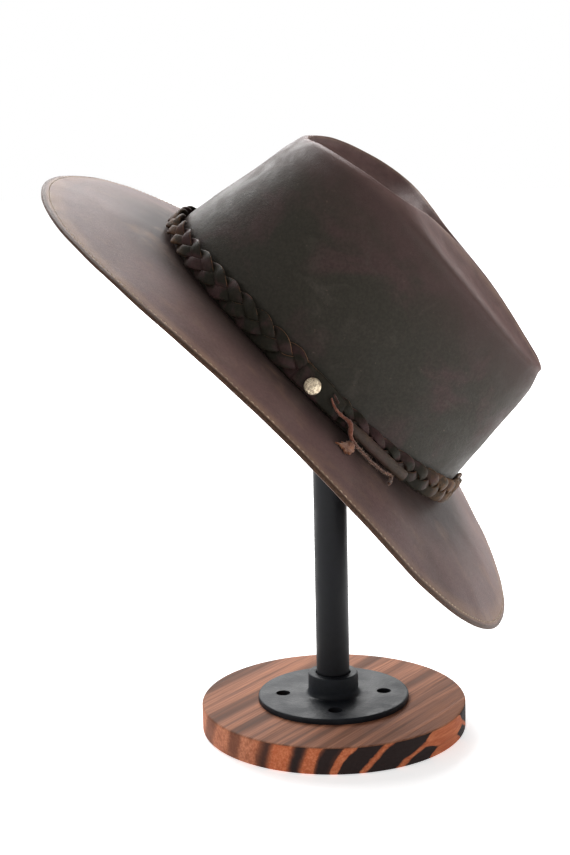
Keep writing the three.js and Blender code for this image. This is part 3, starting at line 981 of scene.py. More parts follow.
@dataclass(frozen=True)
class BrimLeather(OiledLeather):
    """The brim's leather: painted shade beside the crown, tan towards its edge, and raw at the cut.

    Distances are in metres. Those from the edge are positive on top, negative on the cut and below.
    """

    # painted shade: the shadow of the crown and band on the brim, darkest beside the crown
    deep: Colour = (0.016, 0.012, 0.01)
    painted_shade_reach: Ramp = Ramp(0.009, 0.044, 0.97, 0.0)
    edge_reach: Ramp = Ramp(0.003, 0.013, 0.9, 0.0)
    edge_wear: Ramp = Ramp(0.3, 0.6, 0.35, 1.0)
    scuffs: Mottle = (Cloud(26.0, 4.0, 0.6, 0.2), Ramp(0.52, 0.8, 0.0, 0.5))
    line: Colour = (0.3, 0.22, 0.16)
    line_inset: float = 0.0025
    line_width: float = 0.0008
    line_wear: Ramp = Ramp(0.3, 0.6, 0.1, 0.6)
    cut: Colour = (0.045, 0.024, 0.015)
    cut_pale: float = 2.0
    cut_streaks: Mottle = (Cloud(1.1, 3.0, 0.7), Ramp(0.35, 0.65))
    cut_edge: Ramp = Ramp(0.0002, 0.0017)
    wear: Cloud = Cloud(14.0, 5.0, 0.65)

    def made(self) -> Material:
        """Lays out the nodes.

        Returns:
            The material.
        """
        bench, colour, rough, relief = self.start()
        from_crown, from_edge = bench.lay()
        where = bench.where()
        worn = bench.cloud(where, self.wear)
        # painted shade on the brim beside the crown
        colour = bench.tint(bench.span(from_crown, self.painted_shade_reach), colour, self.deep)
        near_edge = bench.times(bench.span(from_edge, self.edge_reach), bench.span(worn, self.edge_wear))
        colour = bench.tint(near_edge, colour, self.rubbed)
        colour = bench.tint(bench.mottled(where, self.scuffs), colour, self.rubbed)
        on_line = bench.band(from_edge, self.line_inset, self.line_width)
        colour = bench.tint(bench.times(on_line, bench.span(worn, self.line_wear)), colour, self.line)
        raw = bench.tint(bench.mottled(where, self.cut_streaks), self.cut, shaded(self.cut, self.cut_pale))
        colour = bench.tint(bench.span(from_edge, self.cut_edge), raw, colour)
        return self.closed(bench, colour, rough, relief)


@dataclass(frozen=True)
class StrapLeather(OiledLeather):
    """The band's strap leather, with paler cut edges, a fresh cut in front and dried ends.

    Places are object coordinates, in metres. The edges are where the cosine of the way round is near 1.
    """

    edge: Ramp = Ramp(0.93, 0.99)
    edge_wear: Ramp = Ramp(0.42, 0.62, 0.0, 0.9)
    wear: Cloud = Cloud(5.0, 4.0, 0.7)
    fresh_edge: Ramp = Ramp(0.9, 0.97)
    fresh_x: float = -0.019
    fresh_reach: float = 0.011
    fresh_y: Ramp = Ramp(0.0, -0.04)
    fresh_most: float = 0.45
    fresh_gain: float = 2.0
    dried: Colour = (0.17, 0.09, 0.045)
    dried_front: Ramp = Ramp(0.045, 0.066)
    dried_back: Ramp = Ramp(-0.074, -0.084)
    dryness: Mottle = (Cloud(3.2, 4.0, 0.7), Ramp(0.38, 0.6, 0.15, 0.8))

    def made(self) -> Material:
        """Lays out the nodes.

        Returns:
            The material.
        """
        bench, colour, rough, relief = self.start()
        _, round_share = bench.lay()
        where = bench.where()
        side = bench.maths("ABSOLUTE", bench.maths("COSINE", bench.times(round_share, FULL_TURN)))
        worn = bench.span(bench.cloud(where, self.wear), self.edge_wear)
        colour = bench.tint(bench.times(bench.span(side, self.edge), worn), colour, self.rubbed)
        x, y, _ = bench.parts(where)
        fresh = bench.times(bench.band(x, self.fresh_x, self.fresh_reach), bench.span(y, self.fresh_y))
        fresh = bench.maths("MINIMUM", fresh, self.fresh_most)
        fresh = bench.times(bench.span(side, self.fresh_edge), fresh)
        colour = bench.tint(bench.times(fresh, self.fresh_gain), colour, self.rubbed)
        ends = bench.plus(bench.span(x, self.dried_front), bench.span(x, self.dried_back))
        colour = bench.tint(bench.times(ends, bench.mottled(where, self.dryness)), colour, self.dried)
        return self.closed(bench, colour, rough, relief)


@dataclass(frozen=True)
class Suede:
    """Matt split leather with a short nap, which may fade from one length along it to another."""

    name: str
    base: Colour
    pale: Colour
    faded: Optional[Colour] = None
    mottle: Mottle = (Cloud(2.2, 4.0, 0.7), Ramp(0.35, 0.68))
    fading: Ramp = Ramp(0.022, 0.032)
    specks: Mottle = (Cloud(0.8, 2.0, 0.8), Ramp(0.5, 0.62))
    speck_pale: float = 4.5
    nap: Cloud = Cloud(0.45, 3.0, 0.7)
    nap_depth: float = 0.18
    roughness: float = 0.92
    gloss: float = 0.2
    sheen: float = 0.3
    sheen_roughness: float = 0.5

    def made(self) -> Material:
        """Lays out the nodes.

        Returns:
            The material.
        """
        bench = NodeBench(bpy.data.materials.new(self.name))
        where = bench.where()
        colour = bench.tint(bench.mottled(where, self.mottle), self.base, self.pale)
        if self.faded is not None:
            along, _ = bench.lay()
            speckled = shaded(self.faded, self.speck_pale)
            worn = bench.tint(bench.mottled(where, self.specks), self.faded, speckled)
            colour = bench.tint(bench.span(along, self.fading), colour, worn)
        nap = bench.relief(bench.cloud(where, self.nap), self.nap_depth)
        return bench.finish(colour, self.roughness, nap, Specular_IOR_Level=self.gloss,
                            Sheen_Weight=self.sheen, Sheen_Roughness=self.sheen_roughness)


@dataclass(frozen=True)
class Thread:
    """Waxed thread."""

    name: str
    base: Colour
    soiled: float = 0.45
    soiling: Mottle = (Cloud(6.0, 3.0, 0.6), Ramp(0.3, 0.7))
    twist: Cloud = Cloud(0.3, 2.0, 0.6)
    twist_depth: float = 0.08
    roughness: float = 0.7
    gloss: float = 0.3

    def made(self) -> Material:
        """Lays out the nodes.

        Returns:
            The material.
        """
        bench = NodeBench(bpy.data.materials.new(self.name))
        where = bench.where()
        colour = bench.tint(bench.mottled(where, self.soiling), self.base, shaded(self.base, self.soiled))
        twist = bench.relief(bench.cloud(where, self.twist), self.twist_depth)
        return bench.finish(colour, self.roughness, twist, Specular_IOR_Level=self.gloss)


@dataclass(frozen=True)
class HammeredMetal:
    """Pale antiqued rivet metal, dull in its pits."""

    name: str
    bright: Colour
    dull: Colour
    pits: Cloud = Cloud(1.7, 3.0, 0.6, 1.6)
    brightness: Ramp = Ramp(0.34, 0.5)
    roughness: Ramp = Ramp(0.3, 0.7, 0.42, 0.26)
    pit_depth: float = 0.3
    metallic: float = 0.8

    def made(self) -> Material:
        """Lays out the nodes.

        Returns:
            The material.
        """
        bench = NodeBench(bpy.data.materials.new(self.name))
        pits = bench.cloud(bench.where(), self.pits)
        colour = bench.tint(bench.span(pits, self.brightness), self.dull, self.bright)
        relief = bench.relief(pits, self.pit_depth)
        return bench.finish(colour, bench.span(pits, self.roughness), relief, Metallic=self.metallic)


@dataclass(frozen=True)
class Grained(Cloud):
    """Noise drawn out along the wood's grain: the smaller its stretch, the longer its streaks."""

    stretch: float = 0.05


@dataclass(frozen=True)
class CharredPine:
    """Flame-scorched pine: year rings about a far pith, dark where the soft wood burnt.

    Reaches, and places across the grain, are in metres from the pith. The rings grow by a
    steady ratio, and are dark where their wave is low.
    """

    name: str
    pale: Colour
    brown: Colour
    streak: Colour
    warm: Colour
    glow: Colour
    char: Colour
    ring_growth: float = 1.177
    first_ring: float = 109.4
    grain_turn: float = 55.0
    pith: tuple[float, float] = (118.0, -26.0)
    slow: Grained = Grained(40.0, 2.0, 0.5, 0.0, 0.15)
    slow_sway: float = 0.012
    quick: Grained = Grained(6.0, 3.0, 0.6, 0.0, 0.08)
    quick_sway: float = 0.0022
    fibre: Grained = Grained(1.3, 4.0, 0.7, 0.0, 0.03)
    burn: Grained = Grained(20.0, 3.0, 0.6, 0.0, 0.06)
    thin: Grained = Grained(4.2, 3.0, 0.6, 0.0, 0.025)
    narrowing: Ramp = Ramp(0.066, 0.1, -0.85, 0.0)
    bare_corner: Ramp = Ramp(0.0415, 0.044, 1.9, 0.0)
    crisp_band: Ramp = Ramp(-0.2, 0.15, 1.0, 0.0)
    soft_band: Ramp = Ramp(-1.0, 0.4, 1.0, 0.0)
    softening: Ramp = Ramp(0.075, 0.105)
    top_fibre: Ramp = Ramp(0.3, 0.7)
    side_fibre: Ramp = Ramp(0.35, 0.72)
    thin_streaks: Ramp = Ramp(0.48, 0.66, 0.0, 0.6)
    burnt: Ramp = Ramp(0.35, 0.6, 0.2, 0.85)
    burnt_reach: Ramp = Ramp(0.06, 0.12, 0.35, 1.0)
    outer: Ramp = Ramp(0.112, 0.13)
    outer_top: float = 0.6
    outer_char: Ramp = Ramp(0.0, 1.0, 1.0, 0.45)
    upward: Ramp = Ramp(0.35, 0.8)
    fibre_depth: float = 0.25
    ring_depth: float = -0.2
    ring_strength: float = 0.6
    roughness: Ramp = Ramp(0.3, 0.7, 0.6, 0.78)
    gloss: float = 0.14

    def grained(self, bench: NodeBench, pattern: Grained) -> Socket:
        """Noise drawn out along the grain."""
        return bench.cloud(bench.where((pattern.stretch, 1.0, 1.0), (0.0, 0.0, -self.grain_turn)), pattern)

    def reaches(self, bench: NodeBench) -> tuple[Socket, Socket]:
        """Distances from the pith.

        Args:
            bench: The material's bench.

        Returns:
            The distance across the grain, and the whole one, which sways slowly and quickly.
        """
        _, y, z = bench.parts(bench.where(turn=(0.0, 0.0, -self.grain_turn)))
        across = bench.plus(y, self.pith[0] * MM)
        up = bench.maths("SUBTRACT", z, self.pith[1] * MM)
        squares = bench.plus(bench.maths("POWER", across, 2.0), bench.maths("POWER", up, 2.0))
        reach = bench.maths("SQRT", squares)
        for pattern, sway in ((self.slow, self.slow_sway), (self.quick, self.quick_sway)):
            centred = bench.maths("SUBTRACT", self.grained(bench, pattern), 0.5)
            reach = bench.plus(reach, bench.times(centred, sway))
        return across, reach

    def rings(self, bench: NodeBench, across: Socket, reach: Socket) -> Socket:
        """The rings' dark bands, crisp near the pith and soft far from it.

        Args:
            bench: The material's bench.
            across: Distance from the pith across the grain.
            reach: The whole distance.

        Returns:
            Their mask.
        """
        growth = bench.maths("DIVIDE", reach, self.first_ring * MM)
        count = bench.maths("LOGARITHM", growth, self.ring_growth)
        wave = bench.maths("COSINE", bench.times(count, FULL_TURN))
        wave = bench.plus(wave, bench.span(reach, self.narrowing))
        wave = bench.plus(wave, bench.span(across, self.bare_corner))
        crisp, soft = bench.span(wave, self.crisp_band), bench.span(wave, self.soft_band)
        return bench.mixed("FLOAT", bench.span(reach, self.softening), crisp, soft)

    def made(self) -> Material:
        """Lays out the nodes.

        Returns:
            The material.
        """
        bench = NodeBench(bpy.data.materials.new(self.name))
        across, reach = self.reaches(bench)
        dark = self.rings(bench, across, reach)
        fibre = self.grained(bench, self.fibre)
        top = bench.tint(bench.span(fibre, self.top_fibre), self.brown, self.pale)
        top = bench.tint(bench.span(self.grained(bench, self.thin), self.thin_streaks), top, self.streak)
        streaks = bench.times(dark, bench.span(self.grained(bench, self.burn), self.burnt))
        top = bench.tint(bench.times(streaks, bench.span(reach, self.burnt_reach)), top, self.streak)
        outer = bench.span(reach, self.outer)
        side = bench.tint(bench.span(fibre, self.side_fibre), self.warm, self.glow)
        side = bench.tint(bench.times(outer, self.outer_top), side, top)
        side = bench.tint(bench.times(dark, bench.span(outer, self.outer_char)), side, self.char)
        _, _, facing_up = bench.parts(bench.put("ShaderNodeNewGeometry").outputs["Normal"])
        colour = bench.tint(bench.span(facing_up, self.upward), side, top)
        relief = bench.relief(fibre, self.fibre_depth)
        relief = bench.relief(dark, self.ring_depth, relief, self.ring_strength)
        return bench.finish(colour, bench.span(fibre, self.roughness), relief, Specular_IOR_Level=self.gloss)


@dataclass(frozen=True)
class BlackIron:
    """Black satin coating over cast or drawn iron."""

    name: str
    base: Colour
    grain: float
    grain_depth: float
    roughness: float = 0.4
    cast: Cloud = Cloud(1.0, 4.0, 0.65)
    patches: Cloud = Cloud(18.0, 4.0, 0.6)
    pale: float = 1.8
    pale_share: Ramp = Ramp(0.35, 0.7)
    rough_share: tuple[float, float] = (0.3, 0.7)
    smoother: float = 0.06
    rougher: float = 0.12
    gloss: float = 0.18

    def made(self) -> Material:
        """Lays out the nodes.

        Returns:
            The material.
        """
        bench = NodeBench(bpy.data.materials.new(self.name))
        where = bench.where()
        patches = bench.cloud(where, self.patches)
        colour = bench.tint(bench.span(patches, self.pale_share), self.base, shaded(self.base, self.pale))
        worn = Ramp(*self.rough_share, self.roughness - self.smoother, self.roughness + self.rougher)
        relief = bench.relief(bench.cloud(where, self.cast, self.grain), self.grain_depth)
        return bench.finish(colour, bench.span(patches, worn), relief, Specular_IOR_Level=self.gloss)


# ---- the crown ----


@dataclass
class Crown:
    """The moulded crown: a leather shell with a teardrop dent and a pinched front.

    Its rows run from the wall's foot over the ridge to the middle of the top.
    """

    form: HatForm
    leather: float = 2.0
    stations: int = 288
    wall_shares: tuple[float, ...] = (0, 0.1, 0.2, 0.3, 0.4, 0.5, 0.6, 0.7, 0.8, 0.88, 0.94, 1.0)
    steps: int = 5
    rim_step: float = 4.5
    rim_inset_most: float = 0.4
    rim_fall: float = 0.1
    facet_hollow: float = 0.07
    rim_rounding: float = 0.15
    front_rounding: float = 0.7
    front_from: float = 0.8
    dent_full_depth: float = 12.0
    floor_rows: tuple[float, ...] = (0.22, 0.46, 0.72, 1.0)
    floor_curve: float = 1.7
    roof_thickening: float = 1.15
    waves: tuple[Wave, ...] = (Wave(0.55, 46.0), Wave(0.22, 19.0, 7.3), Wave(0.08, 8.0, 3.1))
    still_foot: float = 2.0
    still_middle: float = 3.0

    def sections(self, angle: Array) -> Array:
        """Control points from the wall's foot to the middle of the top.

        Args:
            angle: The stations' angles.

        Returns:
            Array (stations, rows, 3).
        """
        form = self.form
        edge = form.wall_edge(angle)
        pinch = form.roof("pinch", angle)
        ridge_x = edge[:, 0] + form.rim_inset * np.maximum(0.0, -np.cos(angle))
        ridge_y = (edge[:, 1] - form.rim_inset * np.sin(angle)) * (1 - pinch)
        ridge = vectors(ridge_x, ridge_y, form.roof("ridge_z", angle))
        valley = vectors(form.roof("valley_x", angle), 0 * angle, form.roof("valley_z", angle))
        middle = (edge + ridge) / 2
        width = np.linalg.norm((edge - ridge)[:, :2], axis=-1)
        middle[:, 2] -= width * (self.facet_hollow * pinch - self.rim_rounding * (1 - pinch))
        reach = np.linalg.norm((valley - ridge)[:, :2], axis=-1)
        depth = np.clip((ridge[:, 2] - valley[:, 2]) / self.dent_full_depth, 0.0, 1.0)
        inset = np.minimum(self.rim_inset_most, form.rim_inset / np.maximum(reach, 1e-6))
        rim_foot = ridge + (valley - ridge) * inset[:, None]
        fall = (valley[:, 2] - ridge[:, 2]) * self.rim_fall * (1 - depth)
        rim_foot[:, 2] = ridge[:, 2] - self.rim_step * depth + fall
        in_front = np.clip((np.cos(angle) - self.front_from) / (1.0 - self.front_from), 0.0, 1.0)
        blunt = self.front_rounding * in_front[:, None]
        ridge = ridge + ((middle + rim_foot) / 2 - ridge) * blunt
        floor = []
        for share in self.floor_rows:
            point = rim_foot + (valley - rim_foot) * share
            drop = 1 - (1 - share) ** self.floor_curve
            point[:, 2] = rim_foot[:, 2] + (valley[:, 2] - rim_foot[:, 2]) * drop
            floor.append(point)
        wall = [form.wall(angle, share) for share in self.wall_shares]
        return np.stack([*wall, middle, ridge, rim_foot, *floor], axis=1)

    def surface(self) -> tuple[Array, Array, Array]:
        """The crown's outside, with its slow waves, which die away at the foot and in the middle.

        Returns:
            Points (stations, rows, 3), their normals, and the control row that each row is near.
        """
        points = through_points(self.sections(full_circle(self.stations)), self.steps)
        rows = np.arange(points.shape[1]) / self.steps
        free = np.clip(rows / self.still_foot, 0.0, 1.0)
        free = free * np.clip((rows[-1] - rows) / self.still_middle, 0.0, 1.0)
        swell = sum(wave.at(points) for wave in self.waves)
        points = points + self.normals(points) * (swell * free)[..., None]
        return points, self.normals(points), rows

    @staticmethod
    def normals(points: Array) -> Array:
        """Outward unit normals.

        Args:
            points: A grid of points.

        Returns:
            A normal for each.
        """
        round_way = np.roll(points, -1, axis=0) - np.roll(points, 1, axis=0)
        upward = np.gradient(points, axis=1)
        return unit(np.cross(round_way, upward))

    def build(self, leather: Material) -> None:
        """Makes the crown.

        Args:
            leather: Its finish.
        """
        outside, normals, rows = self.surface()
        wall_rows = len(self.wall_shares) - 1
        ridge_row = wall_rows + 2
        over = np.clip((rows - wall_rows + 1.0) / 2.0, 0.0, 1.0)[None, :, None]
        down = np.array([0.0, 0.0, self.roof_thickening])
        inward = normals * (1 - over) + down * over
        inward[:, 0, 2] = 0.0
        inward[:, 0] = unit(inward[:, 0])
        inside = outside - inward * self.leather
        stations, count = outside.shape[:2]
        faces = sheet_faces(stations, count, True, False)
        start = stations * count
        faces += [tuple(start + k for k in face[::-1]) for face in faces]
        for i in range(stations):
            a, b = i * count, ((i + 1) % stations) * count
            faces.append((a, start + a, start + b, b))
        points = np.concatenate([outside.reshape(-1, 3), inside.reshape(-1, 3)])
        lay = grid_lay(np.arange(stations) / stations, rows / ridge_row)
        shell = Shell(self.form.placed(points), faces, np.concatenate([lay, lay])).facing_out()
        item = shell.piece("crown_shell", leather)
        item.modifiers.new("seam", "WELD").merge_threshold = SAME_POINT
        apply_modifiers(item)
        seat(item, Slot.CROWN, "crown")


# ---- the brim ----


@dataclass
class Brim:
    """The brim: two layers of leather bonded together and stitched near their cut edge.

    A stitch's stops have places and girths, as shares of its reach and radius, and a rise in
    millimetres. A fold has a height, an angle and a width in degrees.
    """

    form: HatForm
    leather: float = 2.0
    thickness: float = 2.4
    collar_height: float = 12.0
    collar_thickness: float = 1.6
    collar_rows: int = 6
    stations: int = 360
    stitch_inset: float = 2.5
    stitch_length: float = 2.1
    stitch_pitch: float = 3.3
    stitch_radius: float = 0.27
    stitch_sides: int = 6
    stitch_stops: tuple[float, ...] = (-1.0, -0.86, -0.4, 0.0, 0.4, 0.86, 1.0)
    stitch_girth: tuple[float, ...] = (0.25, 0.7, 1.0, 1.0, 1.0, 0.7, 0.25)
    stitch_rise: tuple[float, ...] = (-0.3, -0.05, 0.1, 0.14, 0.1, -0.05, -0.3)
    stitch_sinking: float = 0.14
    line_steps: int = 2160
    groove_depth: float = 0.1
    groove_width: float = 0.4
    emboss_inset: float = 8.2
    emboss_depth: float = 0.03
    emboss_width: float = 0.6
    broad_rows: int = 25
    near_edge: tuple[float, ...] = (
        12.0, 10.0, 9.2, 8.6, 8.2, 7.8, 7.2, 6.0, 4.6, 3.6, 3.0, 2.7, 2.4, 2.1, 1.7, 1.2, 0.6, 0.25, 0.0,
    )
    edge_rounding: float = 0.35
    edge_rounding_width: float = 0.45
    cut_rows: tuple[float, ...] = (0.08, 0.2, 0.34, 0.44, 0.5, 0.56, 0.66, 0.8, 0.92)
    cut_bulge: float = 0.6
    seam_depth: float = 0.28
    seam_width: float = 0.05
    cut_wave: Wave = Wave(0.12, 2.5, 9.0)
    waves: tuple[Wave, ...] = (Wave(0.8, 55.0, 2.2), Wave(0.3, 22.0, 5.1))
    folds: tuple[Triple, ...] = ((-0.6, -72.0, 4.0), (0.4, -61.0, 5.0))
    fold_out: float = 0.42
    fold_reach: float = 0.3
    still_root: float = 0.15
    root_lay: float = 0.07
    collar_lay: float = 0.08

    def ripple(self, points: Array) -> Array:
        """Slow waves in the leather, and a soft fold below the band's tab.

        Args:
            points: Points of the brim, in the hat's frame.

        Returns:
            The upward shift of each.
        """
        long = points[..., 0] / self.form.head_half_length
        wide = points[..., 1] / self.form.head_half_width
        angle, out = np.degrees(np.arctan2(wide, long)), np.hypot(long, wide) - 1
        level = points * np.array([1.0, 1.0, 0.0])
        shift = sum(wave.at(level) for wave in self.waves)
        fold = sum(height * bell(angle, middle, width) for height, middle, width in self.folds)
        still = np.clip(out / self.still_root, 0.0, 1.0)
        return (shift + fold * bell(out, self.fold_out, self.fold_reach)) * still

    def groove(self, inset: Array) -> Array:
        """Depth of the stitched groove and of the embossed line at a distance from the edge."""
        stitched = self.groove_depth * bell(inset, self.stitch_inset, self.groove_width)
        return stitched + self.emboss_depth * bell(inset, self.emboss_inset, self.emboss_width)

    def face(self, angle: Array, below: bool) -> tuple[Array, Array]:
        """One side of the brim from the crown to the edge.

        Args:
            angle: The stations' angles.
            below: Whether it is the underside.

        Returns:
            Points (stations, rows, 3) and the distance from the edge of each.
        """
        width = self.form.brim_width(angle)
        broad = np.linspace(0.0, 1.0 - self.near_edge[0] / width, self.broad_rows + 1, axis=1)[:, :-1]
        fine = 1.0 - np.array(self.near_edge)[None, :] / width[:, None]
        share = np.concatenate([broad, fine], axis=1)
        inset = (1.0 - share) * width[:, None]
        points = self.form.brim_top(angle[:, None], share)
        lift = self.ripple(points) - self.groove(inset) * (-1.0 if below else 1.0)
        rounding = self.edge_rounding * bell(inset, 0.0, self.edge_rounding_width)
        lift += rounding if below else -rounding
        points[..., 2] += lift - (self.thickness if below else 0.0)
        return points, inset

    def rim(self, top: Array, bottom: Array, angle: Array) -> tuple[Array, Array]:
        """The cut edge, with the line where the two layers meet.

        Args:
            top: The top's last points.
            bottom: The underside's last points.
            angle: The stations' angles.

        Returns:
            Points (stations, rows, 3) and the depth below the top of each.
        """
        shares = np.array(self.cut_rows)
        points = top[:, None] + (bottom - top)[:, None] * shares[None, :, None]
        seam = self.seam_depth * bell(shares, 0.5, self.seam_width)
        bulge = self.cut_bulge * np.sin(math.pi * shares) ** 0.5 - seam
        out = self.form.plan_outward(angle)[:, None] * (bulge[None, :] + self.cut_wave.at(points))[..., None]
        return points + out, np.broadcast_to(shares * self.thickness, points.shape[:2])

    def build(self, leather: Material) -> None:
        """Makes the brim.

        Args:
            leather: Its finish.
        """
        angle = full_circle(self.stations)
        top, top_inset = self.face(angle, below=False)
        under, under_inset = self.face(angle, below=True)
        rim, rim_depth = self.rim(top[:, -1], under[:, -1], angle)
        outer = self.leather + GAP
        inner = outer + self.collar_thickness
        heights = np.linspace(self.collar_height, 0.0, self.collar_rows + 1)[:-1]
        outside = np.stack([self.form.beside(angle, h, -outer) for h in heights], axis=1)
        inside = np.stack([self.form.beside(angle, h, -inner) for h in heights[::-1]], axis=1)
        root_top = self.form.beside(angle, 0.0, -outer)
        root_top[:, 2] = top[:, 0, 2]
        root_under = self.form.beside(angle, 0.0, -inner)
        root_under[:, 2] = under[:, 0, 2]
        rows = [outside, root_top[:, None], top, rim, under[:, ::-1], root_under[:, None], inside]
        points = np.concatenate(rows, axis=1)
        root = np.full((self.stations, 1), self.root_lay)
        collar = np.full(outside.shape[:2], self.collar_lay)
        below = -(self.thickness + under_inset[:, ::-1]) * MM
        cut = -rim_depth * MM
        from_edge = np.concatenate([collar, root, top_inset * MM, cut, below, -root, -collar], axis=1)
        from_crown = np.maximum(0.0, self.form.brim_width(angle)[:, None] * MM - np.abs(from_edge))
        lay = np.stack([from_crown, from_edge], axis=-1).reshape(-1, 2)
        faces = sheet_faces(self.stations, points.shape[1], True, True)
        shell = Shell(self.form.placed(points.reshape(-1, 3)), faces, lay).facing_out()
        seat(shell.piece("brim_leather_body", leather), Slot.BRIM, "brim")

    def stitch_row(self, spot: Array, below: bool) -> Shell:
        """The stitches of one side of the brim.

        Args:
            spot: Angles of each stitch's stops, array (stitches, stops).
            below: Whether it is the underside.

        Returns:
            The shell.
        """
        count, stops = spot.shape
        girth = np.array(self.stitch_girth) * self.stitch_radius
        rise = np.array(self.stitch_rise) - self.stitch_sinking
        centre = self.form.brim_top(spot, 1.0 - self.stitch_inset / self.form.brim_width(spot))
        up, drop = (-1.0, self.thickness) if below else (1.0, 0.0)
        centre[..., 2] += self.ripple(centre) + up * rise - drop
        along = unit(centre[:, -1] - centre[:, 0])[:, None, :]
        out = self.form.plan_outward(spot)
        ring = around(out, unit(np.cross(along, out)), full_circle(self.stitch_sides))
        points = (centre[:, :, None, :] + ring * girth[None, :, None, None]).reshape(-1, 3)
        one = tube_faces(stops, self.stitch_sides)
        size = stops * self.stitch_sides
        faces = [tuple(k + i * size for k in face) for i in range(count) for face in one]
        return Shell(self.form.placed(points), faces).facing_out()

    def stitches(self, thread: Material) -> None:
        """Makes the row of stitches on both sides of the brim.

        Args:
            thread: Its finish.
        """
        fine = FULL_TURN * np.arange(self.line_steps + 1) / self.line_steps
        line = self.form.brim_top(fine, 1.0 - self.stitch_inset / self.form.brim_width(fine))
        lengths = lengths_along(line)
        count = int(lengths[-1] / self.stitch_pitch)
        middles = (np.arange(count) + 0.5) * lengths[-1] / count
        reach = self.stitch_length / 2
        stops = middles[:, None] + np.array(self.stitch_stops)[None, :] * reach
        spot = np.interp(stops, lengths, fine)
        shell = Shell.together([self.stitch_row(spot, below) for below in (False, True)])
        seat(shell.piece("brim_stitching", thread), Slot.BRIM)


# ---- the band ----


